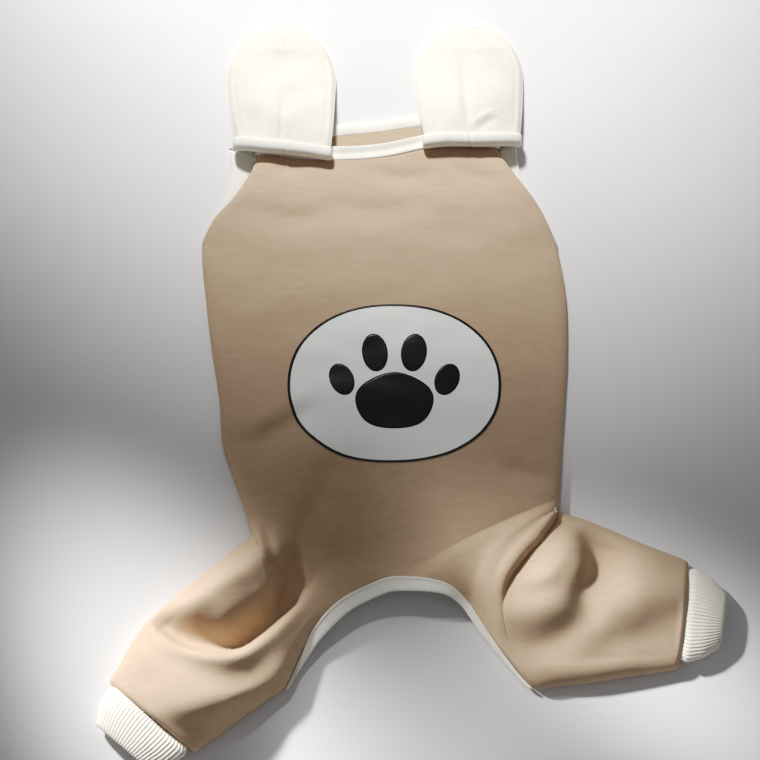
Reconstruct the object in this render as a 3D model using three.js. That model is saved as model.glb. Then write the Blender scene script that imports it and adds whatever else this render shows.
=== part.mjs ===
// A small dog's jumpsuit of brushed knit, laid flat on its belly side with its back up.
// +X is to the right of the laid garment, +Y from the rear opening to the ears, +Z up.
import * as THREE from "three";
import { mergeVertices } from "three/addons/utils/BufferGeometryUtils.js";

// Driving dimensions, in millimetres and degrees.
const BODY_LENGTH = 268; // from the neck edge to the crown of the rear arch
const CHEST_WIDTH = 220; // across the chest, laid flat
const BODY_LEAN = 13; // how far the rear end lies to the right of the neck
const BODY_HEIGHT = 25; // highest part of the laid body
const SIDE_HEIGHT = 7; // height of the rounded side edges
const WALL = 2; // brushed knit cloth
const SEAM_GAP = 0.3; // clearance between neighbouring pieces
const BAND_THICKNESS = 2.6; // folded knit of the bindings
const BAND_PROUD = 0.3; // how far a binding stands over the cloth that it edges
const NECK_BAND_WIDTH = 9.5; // over the back panel's edge
const NECK_BAND_LOWER = 8; // under the belly panel's edge
const REAR_BAND_WIDTH = 8; // over the back panel's edge, from the left end to the crown
const REAR_BAND_RIGHT = 5; // and down to the right end
const REAR_BAND_LOWER = 4; // under the belly panel's edge
const ARM_BAND_LEFT = 18; // widest part of each armhole band
const ARM_BAND_RIGHT = 13;
const ARM_HEM = 1.6; // narrow run of the armhole band under the back panel's edge
const ARM_GAPE = 7; // how far the armhole's upper edge stands off the lower one
const LOWER_REAR_RISE = 4; // the belly panel's rear edge stays short of the back panel's
const BAND_LIFT = 0.5; // lifts the belly panel's bound edges over the bindings' lower face
const LEG_LENGTH_LEFT = 92;
const LEG_LENGTH_RIGHT = 80;
const LEG_HEADING_LEFT = 223;
const LEG_HEADING_RIGHT = -7;
const LEG_END_WIDTH = 64; // laid width where the cuff is sewn on
const LEG_HEIGHT = 32;
const HIP_BOW = 27; // how far the right hip fold curves in over the body
const CUFF_LENGTH = 22;
const CUFF_HEIGHT = 15;
const CUFF_HEADING_LEFT = 231;
const CUFF_HEADING_RIGHT = -9;
const RIB_PITCH = 3;
const RIB_DEPTH = 0.9;
const EAR_LENGTH = 88;
const EAR_WIDTH = 67.5;
const EAR_THICKNESS = 7;
const EAR_RIM = 3.2; // thickness at the ear's sewn rim
const EAR_BASE = 4; // thickness where the ear is caught in its band
const EAR_INSET = 15.5; // from the neck corner to the ear's middle
const EAR_BAND_WIDTH = 8.6;
const EAR_BAND_LENGTH = 61;
const EAR_BAND_WALL = 1.9;
const EAR_BAND_SETBACK = 2.5; // how far the ear band reaches over the back panel
const EAR_BAND_CORNER = 1.6; // bevel along the ear band's edges
const EAR_PLEAT = 1.8; // height of the pleat where the ear is gathered into its band
const REAR_BAND_PROUD = 1; // how far the rear binding stands over the back panel's edge
const TUCK_CLEARANCE = 1; // height over the hem at which it starts to tuck under the back panel
const TUCK_RISE = 2; // further height over which the tuck becomes whole

// Clearances of the places where several pieces meet, from the seam gap.
const CORNER_GAP = 3 * SEAM_GAP; // binding to cloth at the neck corners, and legs to panels
const HIP_END_GAP = 3.5 * SEAM_GAP; // rear binding to cloth where it ends at the inner leg seams
const CUFF_GAP = 5 * SEAM_GAP; // leg cloth to the start of its cuff
const ARM_END_GAP = 4 * SEAM_GAP; // armhole band to the belly panel at its two ends
const EAR_SLOT_GAP = 2.5 * SEAM_GAP; // ear to each wall of its band's slot

// Shares that shape the surfaces.
const EDGE_POWER = 40; // how quick the round of the side edges is
const CROWN_POWER = 1.5; // how broad the crown between the edges is
const FOLD_REACH = 1.8; // how soon the folds gain their height from the side edges inwards
const NECK_REACH = 1.5; // sections over which the neck edge's own line dies away
const ARCH_REACH = 0.8; // sections before the arch over which the belly panel's rear edge draws in
const RIM_POWER = 4; // how narrow the drawn-in rim along the arch is
const BAND_CORNER = 0.28; // corner of a band's section
const HEM_THICKNESS = 0.7; // the armhole hem's share of the band's thickness
const NECK_WIDEN_COLUMNS = 4; // columns over which the upper neck binding gains its width
const REAR_END = 0.5; // the rear binding's width at its two ends
const REAR_TAPER_ROWS = 4; // rows past the arch's crown where that binding starts to narrow
const REAR_SLIM_ROWS = 5; // rows past the crown over which its right run becomes slim
const CUFF_ROUND = 0.8; // power that makes the cuff's section flatter than an ellipse
const EAR_SLOT_DEPTH = 0.45; // of the ear band's width
const EAR_SHOULDER = 0.55; // where the ear's sides end and its round top starts
const EAR_WAIST = 0.14; // how much narrower the ear is at its base
const EAR_TIP = 0.02; // square of the half width left at the very top
const EAR_GATHER = 0.1; // width of the pleat
const EAR_FILLED = 0.35; // where the padding is full
const EAR_EMPTIES = 0.8; // where it starts to thin out to the round top
const EAR_EMPTY = 1.05;
const EAR_THINS = 0.3; // where the edge has come down to the rim's thickness
const EAR_LIES = 0.75; // where the ear has come down to the surface it lies on
const PLEAT_STARTS = 0.06; // the pleat leaves the band, is whole, and dies away
const PLEAT_WHOLE = 0.12;
const PLEAT_ENDS = 0.6;
const EAR_PLACE = 0.6; // where the ears' middles lie, in rows of NECK_RISE from each end

// How finely the surfaces are divided.
const SECTION_STEPS = 2;
const LID_STEPS = 10;
const BASE_STEPS = 6;
const EAR_STEPS_ALONG = 10;
const EAR_STEPS_ACROSS = 10;
const EAR_SIDE_STEPS = 4;
const EAR_BAND_STEPS = 12;
const KEY_STEPS = 1000; // points that round to the same thousandth are one point

// Rows of a table as objects with the named columns.
function table(columns, rows) {
  return rows.map((row) => Object.fromEntries(columns.map((name, k) => [name, row[k]])));
}

// Sections across the body, from the neck to the hip seams. Those named down are shares of
// BODY_LENGTH; those named out and in are shares of half of CHEST_WIDTH from the centre line. The
// inner end lies on the centre line down to the arch's crown, then along the arch. turn is 0 for
// half a section and 1 for a whole tube; crown is a share of BODY_HEIGHT, gape of ARM_GAPE and
// bow of the hip's bow.
const BODY_SECTIONS = table([
  "down", "crown", "turn", "gape", "bow", "leftOut",
  "leftDown", "leftIn", "rightOut", "rightDown", "rightIn",
], [
  [0.0, 0.5, 0, 0, 0, 0.668, 0.0, 0, 0.668, 0.0, 0],
  [0.05, 0.56, 0, 0.75, 0, 0.711, 0.05, 0, 0.745, 0.05, 0],
  [0.108, 0.64, 0, 1, 0, 0.8, 0.108, 0, 0.84, 0.108, 0],
  [0.165, 0.74, 0, 0.6, 0, 0.93, 0.165, 0, 0.915, 0.165, 0],
  [0.23, 0.84, 0, 0, 0, 0.995, 0.23, 0, 0.967, 0.23, 0],
  [0.34, 0.95, 0, 0, 0, 0.985, 0.34, 0, 0.993, 0.34, 0],
  [0.46, 1, 0, 0, 0, 0.962, 0.46, 0, 0.98, 0.46, 0],
  [0.58, 1, 0, 0, 0, 0.928, 0.58, 0, 0.947, 0.58, 0],
  [0.69, 0.97, 0, 0, 0, 0.92, 0.675, 0, 0.918, 0.67, 0],
  [0.8, 0.92, 0, 0, 0, 0.872, 0.745, 0, 0.9, 0.735, 0],
  [0.9, 0.88, 0, 0, 0, 0.832, 0.8, 0, 0.886, 0.78, 0],
  [0.987, 0.84, 0, 0, 0.1, 0.805, 0.84, 0, 0.878, 0.805, 0],
  [1.0, 0.85, 0.35, 0, 0.3, 0.793, 0.86, 0.145, 0.874, 0.817, 0.23],
  [1.035, 0.9, 0.62, 0, 0.5, 0.787, 0.871, 0.317, 0.872, 0.823, 0.349],
  [1.09, 0.97, 0.82, 0, 0.72, 0.784, 0.878, 0.456, 0.871, 0.827, 0.436],
  [1.155, 1.02, 0.94, 0, 0.9, 0.783, 0.883, 0.546, 0.87, 0.83, 0.543],
  [1.22, 1.05, 1, 0, 1, 0.782, 0.888, 0.631, 0.87, 0.833, 0.679],
]);
const ARCH_SECTION = 11; // where the centre line ends at the crown of the rear arch
const HIP_SECTION = BODY_SECTIONS.length - 1;
const UNDERARM_SECTION = 4;

// Sections of each leg from the hip seam to the cuff. upper and lower are the places of the two
// edges along the leg, as shares of its length; the narrowings go from 0, as wide as the hip
// seam, to 1, as wide as LEG_END_WIDTH; height is a share of LEG_HEIGHT, bow of the hip's bow.
const LEFT_LEG_SECTIONS = table(["upper", "upperNarrow", "lower", "lowerNarrow", "height", "bow"], [
  [0.024, -0.24, 0.39, 0.16, 0.9, 0.5],
  [0.32, -0.39, 0.53, 0.38, 0.97, 0.2],
  [0.56, -0.5, 0.66, 0.57, 0.9, 0],
  [0.73, -0.16, 0.757, 0.7, 0.78, 0],
  [0.89, 0.5, 0.85, 0.86, 0.64, 0],
  [1.035, 1, 0.934, 1, 0.53, 0],
]);
const RIGHT_LEG_SECTIONS = table(["upper", "upperNarrow", "lower", "lowerNarrow", "height", "bow"], [
  [0.235, 0.17, 0.16, 0.13, 1, 0.6],
  [0.427, 0.38, 0.36, 0.3, 1, 0.25],
  [0.618, 0.61, 0.57, 0.53, 0.86, 0.05],
  [0.81, 0.81, 0.79, 0.77, 0.68, 0],
  [1.0, 1, 1.0, 1, 0.53, 0],
]);

// Where the neck edge lies above its nominal line, as shares of BODY_LENGTH, from left to right.
const NECK_RISE = table(["upper", "lower"], [
  [0.0, 0.0],
  [-0.0205, 0.042],
  [-0.0177, 0.059],
  [0.01, 0.072],
  [0.016, 0.016],
]);

// Dents and ridges of the body: the ends of each as shares sideways of half of CHEST_WIDTH and
// down of BODY_LENGTH, width and lift as shares of CHEST_WIDTH and BODY_HEIGHT.
const BODY_FOLDS = table(["name", "side", "down", "toSide", "toDown", "width", "lift"], [
  ["left waist pinch", -0.92, 0.69, -0.49, 0.607, 0.042, -0.24],
  ["right waist pinch", 0.9, 0.775, 0.66, 0.75, 0.038, -0.2],
  ["rear slope", 0, 1.02, 0, 1.02, 0.17, -0.42],
  ["belly hollow", -0.235, 0.76, -0.37, 0.95, 0.1, -0.2],
  ["left hip ridge", -0.715, 0.887, -0.68, 0.98, 0.045, 0.14],
  ["chest wrinkle", -0.45, 0.17, 0.35, 0.15, 0.03, 0.05],
]);
// Dents and ridges of the legs: along as shares of the leg's length from the hip seam's middle,
// across as shares of half of LEG_END_WIDTH, width and lift of LEG_END_WIDTH and LEG_HEIGHT.
const LEFT_LEG_FOLDS = table(["name", "along", "across", "toAlong", "toAcross", "width", "lift"], [
  ["long valley", 0.4, 0.8, 0.29, -0.35, 0.19, -0.26],
  ["hip valley", 0.29, -0.35, -0.18, -0.33, 0.17, -0.2],
  ["hip ridge", 0.21, 0.72, -0.02, -0.15, 0.13, 0.12],
]);
const RIGHT_LEG_FOLDS = table(["name", "along", "across", "toAlong", "toAcross", "width", "lift"], [
  ["hip knob dent", -0.12, 0.1, -0.12, 0.1, 0.14, -0.22],
  ["upper valley", 0.04, 1.25, 0.29, 0.4, 0.14, -0.2],
  ["lower valley", -0.29, -0.78, 0.14, -0.33, 0.15, -0.2],
]);

// Sections of the cuffs from the seam to the mouth, as shares of CUFF_LENGTH, LEG_END_WIDTH and
// CUFF_HEIGHT.
const CUFF_SECTIONS = table(["along", "left", "right", "height"], [
  [0, 0.96, 0.94, 1],
  [0.6, 0.86, 0.76, 0.96],
  [1, 0.7, 0.52, 0.8],
]);

// The visible width of each armhole band from the shoulder to the underarm, as a share of its
// widest part.
const ARM_BAND_TAPER = table(["left", "right"], [
  [1, 1],
  [0.72, 0.42],
  [0.39, 0.1],
  [0.05, 0.1],
  [0.05, 0.1],
]);

const HALF_CHEST = CHEST_WIDTH / 2;
const NECK_HALF = HALF_CHEST * BODY_SECTIONS[0].leftOut;
const QUARTER = Math.PI / 2;
const UP = new THREE.Vector3(0, 0, 1);

// hipSlip moves a leg across its heading, in seam gaps, so that it clears the rear binding.
const SIDES = {
  left: {
    sign: -1, name: "left", legSections: LEFT_LEG_SECTIONS, legFolds: LEFT_LEG_FOLDS,
    legLength: LEG_LENGTH_LEFT, heading: LEG_HEADING_LEFT, bow: 0, armBand: ARM_BAND_LEFT,
    cuffHeading: CUFF_HEADING_LEFT, hipSlip: 1.7,
  },
  right: {
    sign: 1, name: "right", legSections: RIGHT_LEG_SECTIONS, legFolds: RIGHT_LEG_FOLDS,
    legLength: LEG_LENGTH_RIGHT, heading: LEG_HEADING_RIGHT, bow: HIP_BOW, armBand: ARM_BAND_RIGHT,
    cuffHeading: CUFF_HEADING_RIGHT, hipSlip: -1.3,
  },
};

// A smooth curve through one column of a table, where at counts its rows.
function smooth(table, column, at) {
  const last = table.length - 1;
  const row = Math.min(Math.floor(at), last - 1);
  const t = at - row;
  const value = (k) => table[Math.max(0, Math.min(last, k))][column];
  const [a, b, c, d] = [value(row - 1), value(row), value(row + 1), value(row + 2)];
  return b + 0.5 * t * (c - a + t * (2 * a - 5 * b + 4 * c - d + t * (3 * (b - c) + d - a)));
}

function mix(a, b, t) {
  return a + (b - a) * t;
}

function ease(from, to, value) {
  const t = Math.max(0, Math.min(1, (value - from) / (to - from)));
  return t * t * (3 - 2 * t);
}

// A plan point from shares of the body's half width and length.
function bodyPoint(side, down) {
  return new THREE.Vector2(side * HALF_CHEST + BODY_LEAN * down, -down * BODY_LENGTH);
}

function direction(degrees) {
  const angle = THREE.MathUtils.degToRad(degrees);
  return new THREE.Vector2(Math.cos(angle), Math.sin(angle));
}

// Where a leg starts and points: the middle of its hip seam, its heading, and the direction
// across it towards its upper edge.
function legFrame(side) {
  const hip = BODY_SECTIONS[HIP_SECTION];
  const top = bodyPoint(side.sign * hip[side.name + "Out"], hip[side.name + "Down"]);
  const foot = bodyPoint(side.sign * hip[side.name + "In"], hip.down);
  const middle = top.clone().add(foot).multiplyScalar(0.5);
  const ahead = direction(side.heading);
  const across = new THREE.Vector2(-ahead.y * side.sign, ahead.x * side.sign);
  const local = (p) => p.clone().sub(middle).dot(across);
  return { middle, ahead, across, topHalf: local(top), footHalf: -local(foot) };
}

function legPoint(frame, along, across) {
  return frame.middle.clone().addScaledVector(frame.ahead, along)
    .addScaledVector(frame.across, across);
}

// The absolute sections of one side of the garment, from the neck to the cuff seam.
function sectionsOf(side) {
  const frame = legFrame(side);
  const sections = BODY_SECTIONS.map((row) => {
    const out = bodyPoint(side.sign * row[side.name + "Out"], row[side.name + "Down"]);
    const inner = bodyPoint(side.sign * row[side.name + "In"], row.down);
    return {
      outX: out.x, outY: out.y, inX: inner.x, inY: inner.y, turn: row.turn,
      crown: row.crown * BODY_HEIGHT, gape: row.gape * ARM_GAPE, bow: row.bow * side.bow,
    };
  });
  const endHalf = LEG_END_WIDTH / 2;
  for (const row of side.legSections) {
    const upper = mix(frame.topHalf, endHalf, row.upperNarrow);
    const lower = mix(frame.footHalf, endHalf, row.lowerNarrow);
    const out = legPoint(frame, row.upper * side.legLength, upper);
    const inner = legPoint(frame, row.lower * side.legLength, -lower);
    sections.push({
      outX: out.x, outY: out.y, inX: inner.x, inY: inner.y, turn: 1,
      crown: row.height * LEG_HEIGHT, gape: 0, bow: row.bow * side.bow,
    });
  }
  return sections;
}

// Each side's sections from the arch's crown on, led by the first arch section of the other
// side, so that the arch's line runs smoothly over the crown.
for (const [side, other] of [[SIDES.left, SIDES.right], [SIDES.right, SIDES.left]]) {
  const lead = sectionsOf(other)[ARCH_SECTION + 1];
  side.archSections = [lead, ...sectionsOf(side).slice(ARCH_SECTION)];
}

// All dents and ridges as plan segments in millimetres.
function foldsOf() {
  const folds = BODY_FOLDS.map((row) => ({
    from: bodyPoint(row.side, row.down), to: bodyPoint(row.toSide, row.toDown),
    width: row.width * CHEST_WIDTH, lift: row.lift * BODY_HEIGHT,
  }));
  for (const side of Object.values(SIDES)) {
    const frame = legFrame(side);
    const half = LEG_END_WIDTH / 2;
    for (const row of side.legFolds)
      folds.push({
        from: legPoint(frame, row.along * side.legLength, row.across * half),
        to: legPoint(frame, row.toAlong * side.legLength, row.toAcross * half),
        width: row.width * LEG_END_WIDTH, lift: row.lift * LEG_HEIGHT,
      });
  }
  return folds;
}
const FOLDS = foldsOf();

function foldLift(x, y) {
  let lift = 0;
  for (const fold of FOLDS) {
    const run = fold.to.clone().sub(fold.from);
    const way = new THREE.Vector2(x, y).sub(fold.from);
    const t = Math.max(0, Math.min(1, way.dot(run) / (run.lengthSq() || 1)));
    const distance = way.addScaledVector(run, -t).length();
    lift += fold.lift * Math.exp(-((distance / fold.width) ** 2));
  }
  return lift;
}

// How full a section is at an angle: 0 at its edge and 1 over its middle. The edge is a quick
// round, the rest a broad crown.
const roundAt = (angle) => Math.sqrt(Math.max(0, 1 - Math.abs(Math.sin(angle)) ** EDGE_POWER));
const crownAt = (angle) => Math.max(0, Math.cos(angle)) ** CROWN_POWER;

// One point of the upper or lower cloth, from a place in the sections and a share across from
// the outer to the inner edge.
function clothPoint(side, sections, layer, at, share) {
  const value = (column) => smooth(sections, column, at);
  const turned = -QUARTER * THREE.MathUtils.clamp(value("turn"), 0, 1);
  const angle = mix(QUARTER, turned, share);
  const across = (1 - Math.sin(angle)) / (1 - Math.sin(turned));
  const bow = 4 * across * (1 - across) * value("bow");
  const back = direction(side.heading);
  const onCentre = at <= ARCH_SECTION;
  const half = onCentre ? sections.slice(0, ARCH_SECTION + 1) : side.archSections;
  const inner = (column) => smooth(half, column, onCentre ? at : at - ARCH_SECTION + 1);
  let x = mix(value("outX"), inner("inX"), across) - back.x * bow;
  let y = mix(value("outY"), inner("inY"), across) - back.y * bow;
  const neckFade = Math.max(0, 1 - at / NECK_REACH) ** 2;
  const neckPlace = ((side.sign * (1 - across) + 1) / 2) * (NECK_RISE.length - 1);
  y += smooth(NECK_RISE, layer, neckPlace) * BODY_LENGTH * neckFade;
  const middle = SIDE_HEIGHT / 2;
  if (layer === "upper") {
    const crown = crownAt(angle);
    const gape = Math.max(0, value("gape")) * (1 - crown);
    const folds = foldLift(x, y) * Math.min(1, crown * FOLD_REACH);
    const rise = (SIDE_HEIGHT / 2) * roundAt(angle) + (value("crown") - SIDE_HEIGHT) * crown;
    return new THREE.Vector3(x, y, middle + gape + rise + folds);
  }
  const nearArch = Math.exp(-((Math.min(0, at - ARCH_SECTION) / ARCH_REACH) ** 2));
  const edgeShare = share ** RIM_POWER * nearArch;
  y += LOWER_REAR_RISE * Math.cos(turned) * edgeShare;
  const flat = roundAt(angle);
  const lift = BAND_LIFT * Math.max(neckFade, edgeShare) * flat;
  const nearlyFlat = 1 - flat < 1e-3;
  return new THREE.Vector3(x, y, nearlyFlat ? lift : middle * (1 - flat) + lift);
}

// A skin of welded points with smooth normals, from the neck to both cuff seams. faces are kept
// apart for the body and each leg. The points on the side edges face straight sideways.
function skinOf(layer, columns) {
  const skin = { points: [], normals: [], faces: { body: [], left: [], right: [] }, ids: {} };
  const known = new Map();
  const idOf = (point) => {
    const key = point.toArray().map((v) => Math.round(v * KEY_STEPS)).join();
    if (!known.has(key)) {
      known.set(key, skin.points.length);
      skin.points.push(point);
      skin.normals.push(new THREE.Vector3());
    }
    return known.get(key);
  };
  const edges = new Set();
  for (const side of Object.values(SIDES)) {
    const sections = sectionsOf(side);
    const rows = (sections.length - 1) * SECTION_STEPS;
    const ids = [];
    for (let i = 0; i <= rows; i++) {
      ids.push([]);
      const at = i / SECTION_STEPS;
      for (let j = 0; j <= columns; j++)
        ids[i].push(idOf(clothPoint(side, sections, layer, at, j / columns)));
      edges.add(ids[i][0]);
      if (at >= HIP_SECTION) edges.add(ids[i][columns]);
    }
    const outward = (side.sign < 0) === (layer === "upper");
    for (let i = 0; i < rows; i++)
      for (let j = 0; j < columns; j++) {
        const [a, b, c, d] = [ids[i][j], ids[i + 1][j], ids[i + 1][j + 1], ids[i][j + 1]];
        const list = i < HIP_SECTION * SECTION_STEPS ? skin.faces.body : skin.faces[side.name];
        for (const face of [[a, b, c], [a, c, d]]) list.push(outward ? face : face.reverse());
      }
    skin.ids[side.name] = ids;
  }
  for (const [a, b, c] of Object.values(skin.faces).flat()) {
    const [p, q, r] = [skin.points[a], skin.points[b], skin.points[c]];
    const normal = q.clone().sub(p).cross(r.clone().sub(p));
    for (const id of [a, b, c]) skin.normals[id].add(normal);
  }
  for (const id of edges) skin.normals[id].z = 0;
  for (const normal of skin.normals) normal.normalize();
  return skin;
}

// A cloth wall from faces of one or more skins: the outer face, the inner face offset by the
// wall, and a rim along every free edge.
function wallGeometry(parts, shift, clamp = (height) => height) {
  const outer = [];
  const inner = [];
  const faces = [];
  const known = new Map();
  for (const { skin, list } of parts) {
    const idOf = (id) => {
      const point = skin.points[id].clone().add(shift);
      const key = point.toArray().map((v) => Math.round(v * KEY_STEPS)).join();
      if (!known.has(key)) {
        known.set(key, outer.length);
        outer.push(point);
        const back = point.clone().addScaledVector(skin.normals[id], -WALL);
        back.z = clamp(back.z);
        inner.push(back);
      }
      return known.get(key);
    };
    for (const face of list) faces.push(face.map(idOf));
  }
  const count = outer.length;
  const used = new Set();
  for (const face of faces)
    face.forEach((id, k) => used.add(id + "," + face[(k + 1) % 3]));
  const index = [];
  for (const face of faces) {
    const [a, b, c] = face;
    index.push(a, b, c, a + count, c + count, b + count);
    face.forEach((from, k) => {
      const to = face[(k + 1) % 3];
      if (!used.has(to + "," + from))
        index.push(to, from, from + count, to, from + count, to + count);
    });
  }
  return geometryOf([...outer, ...inner], index);
}

function geometryOf(points, index) {
  const geometry = new THREE.BufferGeometry().setFromPoints(points);
  geometry.setIndex(index);
  const merged = mergeVertices(geometry, 1e-3);
  merged.computeVertexNormals();
  return merged;
}

// A band swept along stations. Each has a point on the cloth's edge, the direction out past the
// edge, the direction of the cloth's outer face, and its width, gap and thickness. Its section
// is a flat octagon, so its long edges are soft.
function bandGeometry(stations, closed) {
  const corner = BAND_CORNER;
  const section = [
    [0, corner], [corner, 0], [1 - corner, 0], [1, corner],
    [1, 1 - corner], [1 - corner, 1], [corner, 1], [0, 1 - corner],
  ];
  const points = [];
  for (const s of stations) {
    const round = Math.min(1, s.thickness / s.width);
    for (const [u, v] of section) {
      const reach = u > 0 && u < 1 ? mix(u < 0.5 ? 0 : 1, u, round) : u;
      points.push(s.point.clone().addScaledVector(s.out, s.gap + reach * s.width)
        .addScaledVector(s.face, s.proud - v * s.thickness));
    }
  }
  const sides = section.length;
  const count = stations.length;
  const index = [];
  for (let i = 0; i < (closed ? count : count - 1); i++)
    for (let j = 0; j < sides; j++) {
      const next = ((i + 1) % count) * sides;
      const [a, b] = [i * sides + j, i * sides + ((j + 1) % sides)];
      const [c, d] = [next + ((j + 1) % sides), next + j];
      index.push(a, b, c, a, c, d);
    }
  if (!closed)
    for (let j = 1; j < sides - 1; j++) {
      const end = (count - 1) * sides;
      index.push(0, j + 1, j, end, end + j, end + j + 1);
    }
  return facingOut(points, index);
}

// Turns every face round when the solid is inside out.
function facingOut(points, index) {
  let volume = 0;
  for (let k = 0; k < index.length; k += 3)
    volume += points[index[k]].dot(points[index[k + 1]].clone().cross(points[index[k + 2]]));
  if (volume < 0) index.reverse();
  return geometryOf(points, index);
}

const lid = skinOf("upper", LID_STEPS);
const base = skinOf("lower", BASE_STEPS);
const LID_SHIFT = new THREE.Vector3(0, 0, SEAM_GAP / 2);
const BASE_SHIFT = new THREE.Vector3(0, 0, -SEAM_GAP / 2);

// A point and normal of a skin, in place.
function edgeOf(skin, side, row, column) {
  const id = skin.ids[side][row][column];
  const shift = skin === lid ? LID_SHIFT : BASE_SHIFT;
  return { point: skin.points[id].clone().add(shift), face: skin.normals[id].clone() };
}

// A leg: its upper and lower cloth joined along both edges, open at the hip and at the cuff.
function legGeometry(side) {
  const slip = legFrame(side).across.multiplyScalar(side.hipSlip * SEAM_GAP);
  const ahead = direction(side.heading).multiplyScalar(CORNER_GAP).add(slip);
  const legLid = skinOf("upper", LID_STEPS);
  const legBase = skinOf("lower", BASE_STEPS);
  return wallGeometry([
    { skin: legLid, list: legLid.faces[side.name] },
    { skin: legBase, list: legBase.faces[side.name] },
  ], new THREE.Vector3(ahead.x, ahead.y, 0));
}

// The neck binding goes round the mouth: over the back panel's edge and under the belly panel's.
function neckGeometry() {
  const stations = [];
  const add = (edge, width, column = 2) => stations.push({
    ...edge, out: new THREE.Vector3(0, 1, 0), gap: column < 2 ? CORNER_GAP : SEAM_GAP,
    proud: BAND_PROUD, width: width - SEAM_GAP, thickness: BAND_THICKNESS,
  });
  const upper = (side, j) => {
    const width = mix(NECK_BAND_LOWER, NECK_BAND_WIDTH, ease(0, NECK_WIDEN_COLUMNS, j));
    add(edgeOf(lid, side, 0, j), width, j);
  };
  for (let j = 0; j <= LID_STEPS; j++) upper("left", j);
  for (let j = LID_STEPS - 1; j >= 0; j--) upper("right", j);
  for (let j = 1; j <= BASE_STEPS; j++) add(edgeOf(base, "right", 0, j), NECK_BAND_LOWER);
  for (let j = BASE_STEPS - 1; j >= 1; j--) add(edgeOf(base, "left", 0, j), NECK_BAND_LOWER);
  return bandGeometry(stations, true);
}

// The direction in plan across an edge of a skin, away from the cloth.
function awayFrom(skin, side, row, column) {
  const ids = skin.ids[side];
  const last = HIP_SECTION * SECTION_STEPS;
  const before = skin.points[ids[Math.max(0, row - 1)][column]];
  const after = skin.points[ids[Math.min(last, row + 1)][column]];
  const run = after.clone().sub(before).setZ(0).normalize();
  const away = new THREE.Vector3(-run.y, run.x, 0);
  const inward = skin.points[ids[row][column === 0 ? 2 : column - 2]];
  if (away.dot(inward.clone().sub(skin.points[ids[row][column]])) > 0) away.negate();
  return away;
}

// The rear binding goes round the arched opening, over the back panel's edge and back along the
// belly panel's, and narrows to the two inner leg seams.
function rearGeometry() {
  const first = ARCH_SECTION * SECTION_STEPS;
  const last = HIP_SECTION * SECTION_STEPS;
  const stations = [];
  const add = (skin, side, row) => {
    const column = skin === lid ? LID_STEPS : BASE_STEPS;
    const { point } = edgeOf(skin, side, row, column);
    const whole = ease(last, first + REAR_TAPER_ROWS, row);
    let out = awayFrom(skin, side, row, column);
    if (row === first) out = new THREE.Vector3(0, -1, 0);
    const face = UP.clone().multiplyScalar(skin === lid ? 1 : -1);
    const slim = side === "right" ? ease(first, first + REAR_SLIM_ROWS, row) : 0;
    const upper = mix(REAR_BAND_WIDTH, REAR_BAND_RIGHT, slim);
    const full = skin === lid ? upper : REAR_BAND_LOWER;
    stations.push({
      point, out, face, gap: mix(HIP_END_GAP, SEAM_GAP, whole),
      proud: skin === lid ? REAR_BAND_PROUD : BAND_PROUD,
      width: mix(REAR_BAND_LOWER * REAR_END, full, whole), thickness: BAND_THICKNESS,
    });
  };
  const addEnd = (side) => {
    const row = last;
    const { point } = edgeOf(lid, side, row, LID_STEPS);
    const out = awayFrom(lid, side, row, LID_STEPS);
    const before = lid.points[lid.ids[side][row - 1][LID_STEPS]];
    const face = point.clone().sub(before).setZ(0).normalize();
    point.z = SIDE_HEIGHT / 2;
    stations.push({
      point, out, face, gap: HIP_END_GAP, proud: 0, width: REAR_BAND_LOWER * REAR_END,
      thickness: BAND_THICKNESS / 2,
    });
  };
  for (let row = last - 2; row >= first; row--) add(lid, "left", row);
  for (let row = first + 1; row <= last - 2; row++) add(lid, "right", row);
  addEnd("right");
  for (let row = last - 2; row >= first; row--) add(base, "right", row);
  for (let row = first + 1; row <= last - 2; row++) add(base, "left", row);
  addEnd("left");
  return bandGeometry(stations, true);
}

// An armhole band: a wide flat run outside the belly panel's edge, and a narrow one tucked under
// the back panel's edge, meeting at the shoulder and the underarm.
function armGeometry(side) {
  const stations = [];
  const shoulder = 0;
  const underarm = UNDERARM_SECTION * SECTION_STEPS;
  const widthAt = (row) => {
    const taper = smooth(ARM_BAND_TAPER, side.name, row / SECTION_STEPS);
    return Math.max(ARM_HEM, taper * side.armBand);
  };
  const flat = BAND_THICKNESS + BASE_SHIFT.z;
  for (let row = shoulder + 1; row < underarm; row++) {
    const { point } = edgeOf(lid, side.name, row, 0);
    const start = flat + ARM_HEM + TUCK_CLEARANCE;
    const tuck = ease(start, start + TUCK_RISE, point.z);
    stations.push({
      point, out: awayFrom(lid, side.name, row, 0), face: UP,
      gap: mix(SEAM_GAP, -ARM_HEM, tuck), proud: -SEAM_GAP, width: ARM_HEM,
      thickness: BAND_THICKNESS * HEM_THICKNESS,
    });
  }
  const end = (row, way) => {
    const { point } = edgeOf(base, side.name, row, 0);
    point.z = flat / 2;
    stations.push({
      point, out: awayFrom(base, side.name, row, 0), face: new THREE.Vector3(0, way, 0),
      gap: ARM_END_GAP, proud: BAND_THICKNESS / 2, width: widthAt(row), thickness: BAND_THICKNESS,
    });
  };
  end(underarm, -1);
  for (let row = underarm - 1; row > shoulder; row--) {
    const { point } = edgeOf(base, side.name, row, 0);
    point.z = BASE_SHIFT.z;
    stations.push({
      point, out: awayFrom(base, side.name, row, 0), face: UP.clone().negate(),
      gap: SEAM_GAP, proud: 0, width: widthAt(row), thickness: BAND_THICKNESS,
    });
  }
  end(shoulder, 1);
  return bandGeometry(stations, true);
}

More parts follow.
